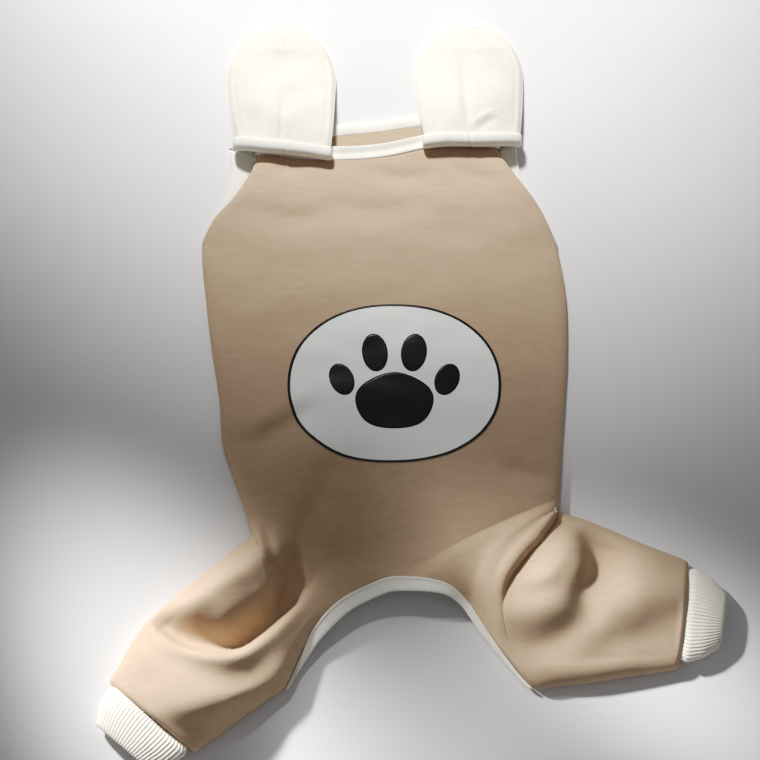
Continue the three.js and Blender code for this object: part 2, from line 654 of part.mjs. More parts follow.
// A ribbed cuff: a flattened tube whose ribs run along it.
function cuffGeometry(side) {
  const rows = sectionsOf(side);
  const end = rows[rows.length - 1];
  const middle = new THREE.Vector2((end.outX + end.inX) / 2, (end.outY + end.inY) / 2);
  const seam = new THREE.Vector2(end.outX - end.inX, end.outY - end.inY).normalize();
  const ahead = direction(side.cuffHeading);
  const square = new THREE.Vector2(-ahead.y * side.sign, ahead.x * side.sign);
  const ribs = Math.round((2 * LEG_END_WIDTH) / RIB_PITCH);
  const points = [];
  const ring = (row, inset) => {
    const across = seam.clone().lerp(square, row.along).normalize();
    const centre = middle.clone().addScaledVector(ahead, CUFF_GAP + row.along * CUFF_LENGTH);
    const halfWidth = (row[side.name] * LEG_END_WIDTH) / 2 - inset;
    const halfHeight = (row.height * CUFF_HEIGHT) / 2 - inset;
    for (let k = 0; k < ribs * 2; k++) {
      const angle = (k / ribs) * Math.PI;
      const rib = inset === 0 && k % 2 ? RIB_DEPTH : 0;
      const reach = Math.sign(Math.cos(angle)) * Math.abs(Math.cos(angle)) ** CUFF_ROUND;
      const sideways = reach * (halfWidth - rib);
      const rise = Math.sin(angle) * (halfHeight - rib);
      const place = centre.clone().addScaledVector(across, sideways);
      points.push(new THREE.Vector3(place.x, place.y, (row.height * CUFF_HEIGHT) / 2 + rise));
    }
  };
  for (const row of CUFF_SECTIONS) ring(row, 0);
  for (const row of [...CUFF_SECTIONS].reverse()) ring(row, WALL);
  const sides = ribs * 2;
  const rings = CUFF_SECTIONS.length * 2;
  const index = [];
  for (let i = 0; i < rings; i++)
    for (let j = 0; j < sides; j++) {
      const next = ((i + 1) % rings) * sides;
      const [a, b] = [i * sides + j, i * sides + ((j + 1) % sides)];
      const [c, d] = [next + ((j + 1) % sides), next + j];
      index.push(a, b, c, a, c, d);
    }
  return facingOut(points, index);
}

const earMiddle = (side) => side.sign * (NECK_HALF - EAR_INSET);
function neckRise(side) {
  const place = side.sign < 0 ? EAR_PLACE : NECK_RISE.length - 1 - EAR_PLACE;
  return smooth(NECK_RISE, "upper", place) * BODY_LENGTH;
}

// The height of the ear band's lower face: over the neck binding at its inner end and at the
// neck corner, and down on the armhole band at its outer end.
function shoulderHeight(side, x) {
  const inner = Math.abs(earMiddle(side)) - EAR_BAND_LENGTH / 2;
  const place = Math.max(0, (Math.abs(x) - inner) / EAR_BAND_LENGTH);
  const corner = (NECK_HALF - inner) / EAR_BAND_LENGTH;
  const clearance = BAND_PROUD + SEAM_GAP + LID_SHIFT.z;
  const highest = Math.max(...lid.ids[side.name][0].slice(0, -2).map((id) => lid.points[id].z));
  const high = highest + clearance;
  const atCorner = lid.points[lid.ids[side.name][1][1]].z + clearance + SEAM_GAP;
  const low = BAND_THICKNESS + SEAM_GAP;
  const power = Math.log((high - atCorner) / (high - low)) / Math.log(corner);
  return high - (high - low) * place ** power;
}

// The raised band that catches the ear's base: a bar with a slot facing the ear.
function earBandGeometry(side) {
  const slot = EAR_BASE + 2 * EAR_SLOT_GAP;
  const height = slot + 2 * EAR_BAND_WALL;
  const front = neckRise(side) - EAR_BAND_SETBACK;
  const back = front + EAR_BAND_WIDTH;
  const depth = EAR_BAND_WIDTH * EAR_SLOT_DEPTH;
  const soft = EAR_BAND_CORNER;
  const section = [
    [front, soft], [front + soft, 0], [back, 0], [back, EAR_BAND_WALL],
    [back - depth, EAR_BAND_WALL], [back - depth, EAR_BAND_WALL + slot],
    [back, EAR_BAND_WALL + slot], [back, height - soft / 2], [back - soft, height],
    [front + soft, height], [front, height - soft],
  ];
  const points = [];
  for (let i = 0; i <= EAR_BAND_STEPS; i++) {
    const x = earMiddle(side) + (i / EAR_BAND_STEPS - 0.5) * EAR_BAND_LENGTH;
    const z = shoulderHeight(side, x);
    for (const [y, rise] of section) points.push(new THREE.Vector3(x, y, z + rise));
  }
  const sides = section.length;
  const index = [];
  for (let i = 0; i < EAR_BAND_STEPS; i++)
    for (let j = 0; j < sides; j++) {
      const [a, b] = [i * sides + j, i * sides + ((j + 1) % sides)];
      index.push(a, b, b + sides, a, b + sides, a + sides);
    }
  const contour = section.map(([y, rise]) => new THREE.Vector2(y, rise));
  const end = EAR_BAND_STEPS * sides;
  for (const [a, b, c] of THREE.ShapeUtils.triangulateShape(contour, []))
    index.push(a, c, b, end + a, end + b, end + c);
  return facingOut(points, index);
}

// How far along the ear a row lies, as a share: even steps up its sides, then steps that
// shorten round its top.
function earShare(row) {
  if (row < EAR_SIDE_STEPS) return (row / EAR_SIDE_STEPS) * EAR_SHOULDER;
  const turn = ((row - EAR_SIDE_STEPS) / (EAR_STEPS_ALONG - EAR_SIDE_STEPS)) * QUARTER;
  return EAR_SHOULDER + (1 - EAR_SHOULDER) * Math.sin(turn);
}

// Half the ear's width at a share of its length.
function earHalf(t) {
  const waist = 1 - EAR_WAIST * Math.max(0, 1 - t / EAR_SHOULDER) ** CROWN_POWER;
  const round = 1 - Math.max(0, (t - EAR_SHOULDER) / (1 - EAR_SHOULDER)) ** 2;
  return (EAR_WIDTH / 2) * Math.min(waist, Math.sqrt(Math.max(EAR_TIP, round)));
}

// A padded ear, caught in its band and lying down on the surface behind the neck.
function earGeometry(side) {
  const depth = EAR_BAND_WIDTH * (1 - EAR_SLOT_DEPTH);
  const start = neckRise(side) - EAR_BAND_SETBACK + depth + SEAM_GAP;
  const length = EAR_LENGTH - start;
  const catchHeight = EAR_BAND_WALL + EAR_SLOT_GAP + EAR_BASE / 2;
  const top = [];
  const bottom = [];
  for (let i = 0; i <= EAR_STEPS_ALONG; i++) {
    const t = earShare(i);
    for (let j = 0; j <= EAR_STEPS_ACROSS; j++) {
      const u = -Math.cos((j / EAR_STEPS_ACROSS) * Math.PI);
      const x = earMiddle(side) + u * earHalf(t);
      const full = (1 - u * u) * ease(0, EAR_FILLED, t) * (1 - ease(EAR_EMPTIES, EAR_EMPTY, t));
      const edge = mix(EAR_BASE, EAR_RIM, ease(0, EAR_THINS, t));
      const thickness = edge + (EAR_THICKNESS - EAR_RIM) * full;
      const gathered = ease(PLEAT_STARTS, PLEAT_WHOLE, t) * (1 - ease(PLEAT_WHOLE, PLEAT_ENDS, t));
      const pleat = EAR_PLEAT * Math.exp(-((u / EAR_GATHER) ** 2)) * gathered;
      const caught = shoulderHeight(side, x) + catchHeight;
      const middle = mix(caught, thickness / 2, ease(0, EAR_LIES, t));
      const y = start + t * length;
      top.push(new THREE.Vector3(x, y, middle + thickness / 2 + pleat));
      bottom.push(new THREE.Vector3(x, y, middle - thickness / 2));
    }
  }
  const across = EAR_STEPS_ACROSS + 1;
  const count = top.length;
  const index = [];
  for (let i = 0; i < EAR_STEPS_ALONG; i++)
    for (let j = 0; j < EAR_STEPS_ACROSS; j++) {
      const [a, b] = [i * across + j, i * across + j + 1];
      index.push(a, b, b + across, a, b + across, a + across);
      index.push(a + count, b + across + count, b + count);
      index.push(a + count, a + across + count, b + across + count);
    }
  const loop = [];
  for (let j = 0; j < EAR_STEPS_ACROSS; j++) loop.push(j);
  for (let i = 0; i < EAR_STEPS_ALONG; i++) loop.push(i * across + EAR_STEPS_ACROSS);
  for (let j = EAR_STEPS_ACROSS; j > 0; j--) loop.push(EAR_STEPS_ALONG * across + j);
  for (let i = EAR_STEPS_ALONG; i > 0; i--) loop.push(i * across);
  loop.forEach((a, k) => {
    const b = loop[(k + 1) % loop.length];
    index.push(b, a, a + count, b, a + count, b + count);
  });
  return facingOut([...top, ...bottom], index);
}

const fleece = () => new THREE.MeshStandardMaterial({ color: 0xc9aa8c, roughness: 0.95 });
const knit = () => new THREE.MeshStandardMaterial({ color: 0xeee8da, roughness: 0.95 });

const group = new THREE.Group();
function add(name, geometry, material) {
  const mesh = new THREE.Mesh(geometry, material);
  mesh.name = name;
  group.add(mesh);
}

const seam = SIDE_HEIGHT / 2;
const backPanel = wallGeometry([{ skin: lid, list: lid.faces.body }], LID_SHIFT,
  (height) => Math.max(height, seam + LID_SHIFT.z));
const bellyPanel = wallGeometry([{ skin: base, list: base.faces.body }], BASE_SHIFT,
  (height) => Math.min(height, seam + BASE_SHIFT.z));
add("back_panel", backPanel, fleece());
add("belly_panel", bellyPanel, fleece());
add("neck_binding", neckGeometry(), knit());
add("rear_binding", rearGeometry(), knit());
for (const side of Object.values(SIDES)) {
  add("leg_" + side.name, legGeometry(side), fleece());
  add("cuff_" + side.name, cuffGeometry(side), knit());
  add("armhole_band_" + side.name, armGeometry(side), knit());
  add("ear_band_" + side.name, earBandGeometry(side), knit());
  add("ear_" + side.name, earGeometry(side), knit());
}

// The origin is under the middle of the laid garment, on the surface that it lies on.
const box = new THREE.Box3().setFromObject(group);
const centre = box.getCenter(new THREE.Vector3());
group.position.set(-centre.x, -centre.y, -box.min.z);

export default group;
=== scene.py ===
"""The looks of a small dog's jumpsuit of brushed knit, laid flat with its back up."""
import math

import bmesh
import bpy
import numpy as np
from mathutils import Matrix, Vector, noise
from mathutils.bvhtree import BVHTree


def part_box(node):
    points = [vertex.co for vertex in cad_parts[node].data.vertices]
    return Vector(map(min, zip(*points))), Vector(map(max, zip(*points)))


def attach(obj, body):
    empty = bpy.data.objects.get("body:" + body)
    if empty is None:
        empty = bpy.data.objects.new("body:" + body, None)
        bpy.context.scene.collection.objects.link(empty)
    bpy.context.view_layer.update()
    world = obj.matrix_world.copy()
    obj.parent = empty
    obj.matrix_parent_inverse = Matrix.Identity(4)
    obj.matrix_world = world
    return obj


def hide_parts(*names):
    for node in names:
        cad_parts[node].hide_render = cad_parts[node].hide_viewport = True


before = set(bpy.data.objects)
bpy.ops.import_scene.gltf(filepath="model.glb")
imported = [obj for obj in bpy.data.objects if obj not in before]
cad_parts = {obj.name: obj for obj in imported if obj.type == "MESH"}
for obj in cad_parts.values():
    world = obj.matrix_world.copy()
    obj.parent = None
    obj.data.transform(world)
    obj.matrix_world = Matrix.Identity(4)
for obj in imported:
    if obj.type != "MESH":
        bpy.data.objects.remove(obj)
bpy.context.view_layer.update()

# The garment's driving dimensions, in millimetres and degrees, as in the part.
BODY_LENGTH = 268
HALF_CHEST = 110
BODY_LEAN = 13
BODY_HEIGHT = 25
SIDE_HEIGHT = 7
WALL = 2
SEAM_GAP = 0.3
ARM_GAPE = 7
LOWER_REAR_RISE = 4
LEG_END_WIDTH = 64
LEG_HEIGHT = 32
NECK_BAND_WIDTH = 9.5
NECK_BAND_LOWER = 8
REAR_BAND_WIDTH = 8.6
REAR_BAND_RIGHT = 4.6
REAR_BAND_LOWER = 3
BAND_THICKNESS = 2.6
CUFF_LENGTH = 22
CUFF_HEIGHT = 15
RIB_PITCH = 2.3
RIB_DEPTH = 0.28
EAR_LENGTH = 88
EAR_WIDTH = 67.5
EAR_THICKNESS = 7
EAR_RIM = 3.2
EAR_BASE = 4
EAR_INSET = 15.5
EAR_BAND_WIDTH = 8.6
EAR_BAND_LENGTH = 61
EAR_BAND_WALL = 1.9

# Shares that shape the surfaces, as in the part.
EDGE_POWER = 40
CROWN_POWER = 1.5
NECK_REACH = 1.5
ARCH_REACH = 0.8
RIM_POWER = 4
EAR_SHOULDER = 0.55
EAR_WAIST = 0.14

# How finely the surfaces are divided.
SECTION_STEPS = 10
ACROSS_STEPS = 64
BASE_STEPS = 28

# Cloth edges sharper than this, in degrees, stay sharp; the cloth stays this far above the
# floor, and its points nearer than this are joined.
SHARP_ANGLE = 58
FLOOR_GAP = 0.1
CLOTH_WELD = 0.02
MM = 0.001
QUARTER = math.pi / 2

# Sections across the body, from the neck to the hip seams. Those named down are shares of the
# body's length, those named out and in of half the chest; crown is a share of the height.
BODY_COLUMNS = (
    "down crown turn gape bow leftOut leftDown leftIn rightOut rightDown rightIn").split()
BODY_SECTIONS = [
    (0.0, 0.5, 0, 0, 0, 0.668, 0.0, 0, 0.668, 0.0, 0),
    (0.05, 0.56, 0, 0.75, 0, 0.711, 0.05, 0, 0.745, 0.05, 0),
    (0.108, 0.64, 0, 1, 0, 0.8, 0.108, 0, 0.84, 0.108, 0),
    (0.165, 0.74, 0, 0.6, 0, 0.93, 0.165, 0, 0.915, 0.165, 0),
    (0.23, 0.84, 0, 0, 0, 0.995, 0.23, 0, 0.967, 0.23, 0),
    (0.34, 0.95, 0, 0, 0, 0.985, 0.34, 0, 0.993, 0.34, 0),
    (0.46, 1, 0, 0, 0, 0.962, 0.46, 0, 0.98, 0.46, 0),
    (0.58, 1, 0, 0, 0, 0.928, 0.58, 0, 0.947, 0.58, 0),
    (0.69, 0.97, 0, 0, 0, 0.92, 0.675, 0, 0.918, 0.67, 0),
    (0.8, 0.92, 0, 0, 0, 0.872, 0.745, 0, 0.9, 0.735, 0),
    (0.9, 0.88, 0, 0, 0, 0.832, 0.8, 0, 0.886, 0.78, 0),
    (0.987, 0.84, 0, 0, 0.1, 0.805, 0.84, 0, 0.878, 0.805, 0),
    (1.0, 0.85, 0.35, 0, 0.3, 0.793, 0.86, 0.145, 0.874, 0.817, 0.23),
    (1.035, 0.9, 0.62, 0, 0.5, 0.787, 0.871, 0.317, 0.872, 0.823, 0.349),
    (1.09, 0.97, 0.82, 0, 0.72, 0.784, 0.878, 0.456, 0.871, 0.827, 0.436),
    (1.155, 1.02, 0.94, 0, 0.9, 0.783, 0.883, 0.546, 0.87, 0.83, 0.543),
    (1.22, 1.05, 1, 0, 1, 0.782, 0.888, 0.631, 0.87, 0.833, 0.679),
]
ARCH_SECTION = 11
HIP_SECTION = len(BODY_SECTIONS) - 1
UNDERARM_SECTION = 4

# Sections of each leg from the hip seam to the cuff, as in the part.
LEG_COLUMNS = "upper upperNarrow lower lowerNarrow height bow".split()
LEG_SECTIONS = {
    "left": [
        (0.024, -0.24, 0.39, 0.16, 0.9, 0.5),
        (0.32, -0.39, 0.53, 0.38, 0.97, 0.2),
        (0.56, -0.5, 0.66, 0.57, 0.9, 0),
        (0.73, -0.16, 0.757, 0.7, 0.78, 0),
        (0.89, 0.5, 0.85, 0.86, 0.64, 0),
        (1.035, 1, 0.934, 1, 0.53, 0),
    ],
    "right": [
        (0.235, 0.17, 0.16, 0.13, 1, 0.6),
        (0.427, 0.38, 0.36, 0.3, 1, 0.25),
        (0.618, 0.61, 0.57, 0.53, 0.86, 0.05),
        (0.81, 0.81, 0.79, 0.77, 0.68, 0),
        (1.0, 1, 1.0, 1, 0.53, 0),
    ],
}
LEG_LENGTH = {"left": 92, "right": 80}
LEG_HEADING = {"left": 223, "right": -7}
CUFF_HEADING = {"left": 231, "right": -9}
HIP_BOW = {"left": 0, "right": 27}
SIGN = {"left": -1, "right": 1}
NECK_RISE = {"upper": (0.0, -0.0205, -0.0177, 0.01, 0.016),
             "lower": (0.0, 0.042, 0.059, 0.072, 0.016)}

# Visible width of the armhole bands from shoulder to underarm, in millimetres.
ARM_BAND = {"left": (18, 13, 7, 1, 1), "right": (13, 5.6, 1.2, 1, 1)}
ARM_HEM = 1

# Sections of the cuffs from seam to mouth: along, left width, right width, height, as shares.
CUFF_SECTIONS = [(0, 0.96, 0.94, 1), (0.6, 0.86, 0.76, 0.96), (1, 0.7, 0.52, 0.8)]

# Folds: places along each, to the right and down of the neck's middle; the width on the left
# and on the right of its run; and its lift.
FOLDS = [
    ("left hip ridge", [(-71, -235), (-67, -251), (-62, -267)], 4.5, 8, 4.6),
    ("left hip groove", [(-64, -238), (-61, -249), (-57, -262)], 3.5, 3.5, -3.4),
    ("left second ridge", [(-61, -240), (-58, -262), (-67, -276)], 5.5, 4.5, 2.6),
    ("left hip hollow", [(-30, -208), (-36, -232), (-43, -254), (-50, -268)], 17, 11, -12),
    ("left leg valley", [(-130, -284), (-122, -293), (-107, -302), (-85, -305), (-69, -296),
                         (-54, -281), (-41, -262)], 13, 4.5, -21),
    ("left leg bulge", [(-131, -297), (-120, -308), (-104, -318), (-83, -322), (-64, -312),
                        (-47, -293)], 8, 9, -3),
    ("left leg flank", [(-62, -250), (-80, -262), (-100, -275), (-122, -287)], 9, 9, 6.5),
    ("left leg underside", [(-122, -343), (-95, -340), (-66, -334), (-46, -314)], 10, 10, 4.5),
    ("left waist pinch", [(-94, -185), (-72, -183), (-45, -168)], 5, 12, -5),
    ("left waist roll", [(-92, -174), (-68, -171), (-46, -160)], 7, 5, 2.0),
    ("left waist dip", [(-80, -201), (-64, -216), (-52, -226)], 8, 10, -3.0),
    ("right waist pinch", [(110, -208), (95, -204), (78, -200)], 5, 6, -3.0),
    ("belly hollow", [(-22, -196), (-28, -232), (-24, -262)], 26, 20, -4.0),
    ("rear roll", [(36, -214), (50, -236), (62, -262)], 20, 16, 2.2),
    ("rear dip", [(0, -236), (14, -256), (22, -268)], 26, 26, -4.0),
    ("chest wrinkle", [(0, -15), (14, -19), (30, -16)], 5, 8, -2.2),
    ("second chest wrinkle", [(-28, -36), (0, -40), (22, -36)], 6, 9, -1.8),
    ("left chest wrinkle", [(-76, -38), (-52, -46), (-32, -42)], 6, 8, -1.8),
    ("right chest wrinkle", [(46, -12), (62, -18), (82, -16)], 5, 7, -1.8),
    ("left shoulder wrinkle", [(-62, -14), (-46, -10)], 5, 5, -1.2),
    ("right lobe", [(78, -262), (86, -267), (96, -266), (104, -258)], 11, 6, 3.6),
    ("right leg valley", [(121, -233), (127, -246), (128, -261), (121, -274)], 19, 9, -15),
    ("right lower valley", [(56, -280), (70, -295), (86, -301), (102, -299), (118, -290)],
     11, 10, -9),
    ("right leg underside", [(82, -312), (110, -308), (140, -302), (173, -292)], 13, 15, -7),
    ("right leg top", [(124, -236), (147, -246), (172, -251)], 6, 7, 2.2),
]

# How far the body's rolled edge lies over the leg at the right hip seam, in millimetres, at
# shares of the seam from its upper end.
HIP_OVERLAP = [(0, 0), (0.1, 2), (0.2, 7), (0.3, 10), (0.4, 7), (0.5, 2.5), (0.6, 0.5), (0.7, 0),
               (1, 0)]
# Sections over which the edge bends down, the overlap that rolls fully, its depth and groove.
OVERLAP_ROWS = 1.1
OVERLAP_FULL = 5
ROLL_DEPTH = 5
ROLL_GROOVE = 2.0
# How far the leg's start lies lower and further in than the body's edge, in millimetres.
LEG_SUNK = 8
LEG_INSIDE = 4
LEG_SUNK_ROWS = 1.1
LEG_INSIDE_ROWS = 0.5
# The rounded hem at a leg's end: its drop, and the sections that it takes.
HEM_ROLL = 2.2
HEM_ROWS = 0.3
# The back panel's drop under the neck binding, and how far the binding stands above it.
NECK_DIP = 1.1
NECK_DIP_ROWS = 0.09
NECK_PROUD = 1.9
# The upper cloth sinks no lower than this between its edges, and eases into it.
UPPER_FLOOR = 6.4
UPPER_EASE = 2
# Folds reach their full lift where the crown does, in this steepness, and calm down at a hem.
FOLD_RISE = 1.8
HEM_CALM = 0.6
# Unevenness of the cloth: length across, length down and lift of its long and short waves.
LONG_WAVE = (46, 22, 1.1)
SHORT_WAVE = (17, 11, 0.42)
SHORT_WAVE_LEAN = 60


def smooth(values, at):
    """A smooth curve through evenly spaced values, where at counts them."""
    values = np.asarray(values, float)
    last = len(values) - 1
    row = np.clip(np.floor(at).astype(int), 0, last - 1)
    t = at - row
    a, b, c, d = (values[np.clip(row + k, 0, last)] for k in (-1, 0, 1, 2))
    return b + 0.5 * t * (c - a + t * (2 * a - 5 * b + 4 * c - d + t * (3 * (b - c) + d - a)))


def mix(a, b, t):
    return a + (b - a) * t


def ease(start, end, value):
    t = np.clip((value - start) / (end - start), 0, 1)
    return t * t * (3 - 2 * t)


def bell(distance, width):
    return np.exp(-((distance / width) ** 2))


def direction(degrees):
    return np.array([math.cos(math.radians(degrees)), math.sin(math.radians(degrees))])


def body_point(side, down):
    return np.array([side * HALF_CHEST + BODY_LEAN * down, -down * BODY_LENGTH])


def sections_of(side):
    """The absolute sections of one side of the garment, from the neck to the cuff seam."""
    sign = SIGN[side]
    bow = HIP_BOW[side]
    rows = []
    for values in BODY_SECTIONS:
        row = dict(zip(BODY_COLUMNS, values))
        outer = body_point(sign * row[side + "Out"], row[side + "Down"])
        inner = body_point(sign * row[side + "In"], row["down"])
        rows.append((*outer, *inner, row["turn"], row["crown"] * BODY_HEIGHT,
                     row["gape"] * ARM_GAPE, row["bow"] * bow))
    top, foot = np.array(rows[-1][0:2]), np.array(rows[-1][2:4])
    middle = (top + foot) / 2
    ahead = direction(LEG_HEADING[side])
    across = np.array([-ahead[1] * sign, ahead[0] * sign])
    top_half = (top - middle) @ across
    foot_half = -(foot - middle) @ across
    for values in LEG_SECTIONS[side]:
        row = dict(zip(LEG_COLUMNS, values))
        upper = mix(top_half, LEG_END_WIDTH / 2, row["upperNarrow"])
        lower = mix(foot_half, LEG_END_WIDTH / 2, row["lowerNarrow"])
        outer = middle + ahead * row["upper"] * LEG_LENGTH[side] + across * upper
        inner = middle + ahead * row["lower"] * LEG_LENGTH[side] - across * lower
        rows.append((*outer, *inner, 1, row["height"] * LEG_HEIGHT, 0, row["bow"] * bow))
    return np.array(rows)


SECTIONS = {side: sections_of(side) for side in SIGN}
# Each side's rows from the arch's crown on, led by the other side's first, for a smooth crown.
ARCH_ROWS = {
    side: np.concatenate([SECTIONS[other][ARCH_SECTION + 1:ARCH_SECTION + 2],
                          SECTIONS[side][ARCH_SECTION:]])
    for side, other in (("left", "right"), ("right", "left"))}
LAST_SECTION = {side: len(SECTIONS[side]) - 1 for side in SIGN}


def fold_lift(x, y):
    """The height that the folds add at plan points."""
    lift = np.zeros_like(x)
    for _, places, left, right, height in FOLDS:
        places = np.array(places, float)
        steps = np.linspace(0, len(places) - 1, 8 * (len(places) - 1) + 1)
        run = np.stack([smooth(places[:, k], steps) for k in (0, 1)], 1)
        nearest = np.full(x.shape, 1e9)
        signed = np.zeros_like(x)
        place = np.zeros_like(x)
        for k, (start, end) in enumerate(zip(run[:-1], run[1:])):
            way = end - start
            t = np.clip(((x - start[0]) * way[0] + (y - start[1]) * way[1]) / (way @ way), 0, 1)
            dx, dy = x - start[0] - way[0] * t, y - start[1] - way[1] * t
            distance = np.hypot(dx, dy)
            closer = distance < nearest
            nearest = np.where(closer, distance, nearest)
            turn = (way[0] * dy - way[1] * dx) / np.maximum(np.hypot(*way) * distance, 1e-6)
            signed = np.where(closer, turn, signed)
            place = np.where(closer, (k + t) / (len(run) - 1), place)
        width = mix(right, left, (signed + 1) / 2)
        ends = 0.55 + 0.45 * np.sin(np.pi * place)
        lift += height * ends * bell(nearest, width)
    return lift


def wrinkles(x, y):
    """Slight unevenness of the laid cloth: long soft waves and small ones."""
    flat = np.empty(x.size)
    for k, (px, py) in enumerate(zip(x.ravel(), y.ravel())):
        long_wave = noise.noise(Vector((px / LONG_WAVE[0], py / LONG_WAVE[1], 3.1)))
        leaning = px / SHORT_WAVE[0] + py / SHORT_WAVE_LEAN
        short_wave = noise.noise(Vector((leaning, py / SHORT_WAVE[1], 8.7)))
        flat[k] = LONG_WAVE[2] * long_wave + SHORT_WAVE[2] * short_wave
    return flat.reshape(x.shape)


def overlap_of(side, share):
    """How far the body's edge folds over the leg at the hip seam: only on the right."""
    if side == "left":
        return np.zeros_like(share)
    table = np.array(HIP_OVERLAP)
    return np.interp(share, table[:, 0], table[:, 1])


def cloth(side, layer, at, share):
    """Points of the upper or lower cloth; share runs from the outer to the inner edge."""
    rows = SECTIONS[side]
    out_x, out_y, _, _, turn, crown_height, gape_height, bow_size = (
        smooth(rows[:, k], at) for k in range(8))
    on_centre = at <= ARCH_SECTION
    body_half, leg_half = rows[: ARCH_SECTION + 1], ARCH_ROWS[side]
    in_x, in_y = (
        np.where(on_centre, smooth(body_half[:, k], np.minimum(at, ARCH_SECTION)),
                 smooth(leg_half[:, k], np.maximum(at - ARCH_SECTION + 1, 1))) for k in (2, 3))
    turned = -QUARTER * np.clip(turn, 0, 1)
    angle = mix(QUARTER, turned, share)
    across = (1 - np.sin(angle)) / (1 - np.sin(turned))
    back = direction(LEG_HEADING[side])
    bow = 4 * across * (1 - across) * bow_size
    x = mix(out_x, in_x, across) - back[0] * bow
    y = mix(out_y, in_y, across) - back[1] * bow
    neck_fade = np.maximum(0, 1 - at / NECK_REACH) ** 2
    neck_place = ((SIGN[side] * (1 - across) + 1) / 2) * (len(NECK_RISE[layer]) - 1)
    y = y + smooth(NECK_RISE[layer], neck_place) * BODY_LENGTH * neck_fade
    middle = SIDE_HEIGHT / 2
    flat = np.sqrt(np.maximum(0, 1 - np.abs(np.sin(angle)) ** EDGE_POWER))
    near_end = np.clip((at - LAST_SECTION[side] + HEM_ROWS) / HEM_ROWS, 0, 1)
    hem = HEM_ROLL * (1 - np.sqrt(1 - near_end ** 2))
    seam_x, seam_y = in_x - out_x, in_y - out_y
    seam_length = np.maximum(np.hypot(seam_x, seam_y), 1)
    pull = hem * (1 - flat) * np.sign(np.sin(angle))
    x, y = x + seam_x / seam_length * pull, y + seam_y / seam_length * pull
    if layer == "lower":
        near_arch = bell(np.minimum(0, at - ARCH_SECTION), ARCH_REACH)
        edge_share = share ** RIM_POWER * near_arch
        y = y + LOWER_REAR_RISE * np.cos(turned) * edge_share
        lift = 0.5 * np.maximum(neck_fade, edge_share) * flat
        return np.stack([x, y, middle * (1 - flat) + lift + hem * flat], -1)
    crown = np.maximum(0, np.cos(angle)) ** CROWN_POWER
    gape = np.maximum(0, gape_height) * (1 - crown)
    full = np.minimum(1, crown * FOLD_RISE)
    extra = (fold_lift(x, y) + wrinkles(x, y)) * full * (1 - HEM_CALM * near_end)
    height = (SIDE_HEIGHT / 2) * flat + (crown_height - SIDE_HEIGHT) * crown
    over = overlap_of(side, share)
    some = np.minimum(1, over / OVERLAP_FULL)
    behind = np.clip((HIP_SECTION - at) / OVERLAP_ROWS, 0, 1)
    on_body = at <= HIP_SECTION
    reach = np.where(on_body, over * (1 - behind) ** 1.5, 0)
    rolled = 1 - np.sqrt(1 - np.clip(1 - behind * OVERLAP_ROWS * 5, 0, 1) ** 2)
    drop = ROLL_DEPTH * rolled * some - ROLL_GROOVE * some * bell(behind - 0.3, 0.3)
    drop = np.where(on_body, drop, 0)
    height = height - drop - hem * flat
    x, y = x + back[0] * reach, y + back[1] * reach
    z = middle + gape + height + extra - NECK_DIP * bell(at, NECK_DIP_ROWS)
    above = z - UPPER_FLOOR
    kept = UPPER_FLOOR + (above + np.sqrt(above ** 2 + UPPER_EASE)) / 2
    return np.stack([x, y, mix(z, kept, full)], -1)


def place(points):
    """Garment millimetres to metres in the part's frame."""
    return (np.asarray(points, float) + OFFSET) * MM


def grid_of(side, layer, first, last, steps_across):
    rows = np.linspace(first, last, round((last - first) * SECTION_STEPS) + 1)
    columns = np.linspace(0, 1, steps_across + 1)
    at, share = np.meshgrid(rows, columns, indexing="ij")
    return cloth(side, layer, at, share)


def measure_offset():
    """Where the garment's own origin lies in the part's frame, in millimetres."""
    low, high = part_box("back_panel")
    points = np.concatenate([
        grid_of(side, "upper", 0, HIP_SECTION, 8).reshape(-1, 3) for side in SIGN])
    x = ((low[0] + high[0]) / MM - points[:, 0].min() - points[:, 0].max()) / 2
    y = high[1] / MM - points[:, 1].max()
    return np.array([x, y, SEAM_GAP / 2])


OFFSET = measure_offset()


def object_from(name, points, faces, smooth_faces=True):
    mesh = bpy.data.meshes.new(name)
    mesh.from_pydata([tuple(p) for p in points], [], [tuple(f) for f in faces])
    mesh.update()
    if smooth_faces:
        mesh.shade_smooth()
    made = bpy.data.objects.new(name, mesh)
    bpy.context.scene.collection.objects.link(made)
    return made


def grid_faces(rows, columns, start=0, turned=False):
    ids = start + np.arange(rows * columns).reshape(rows, columns)
    quads = np.stack([ids[:-1, :-1], ids[1:, :-1], ids[1:, 1:], ids[:-1, 1:]], -1).reshape(-1, 4)
    return quads[:, ::-1] if turned else quads


def weld(made, distance, turn_outwards=True):
    """Joins points that lie together, and turns the faces outwards."""
    shape = bmesh.new()
    shape.from_mesh(made.data)
    bmesh.ops.remove_doubles(shape, verts=shape.verts, dist=distance * MM)
    if turn_outwards:
        bmesh.ops.recalc_face_normals(shape, faces=shape.faces)
    shape.to_mesh(made.data)
    shape.free()
    made.data.shade_smooth()


def apply(made, kind, name, **values):
    """Adds a modifier and applies it."""
    modifier = made.modifiers.new(name, kind)
    for key, value in values.items():
        setattr(modifier, key, value)
    graph = bpy.context.evaluated_depsgraph_get()
    mesh = bpy.data.meshes.new_from_object(made.evaluated_get(graph))
    made.modifiers.clear()
    made.data = mesh


def finish_piece(made, node, material):
    """Puts a piece in its node's place, with its finish."""
    made.data.materials.clear()
    made.data.materials.append(material)
    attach(made, "root")
    if node:
        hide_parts(node)
    return made


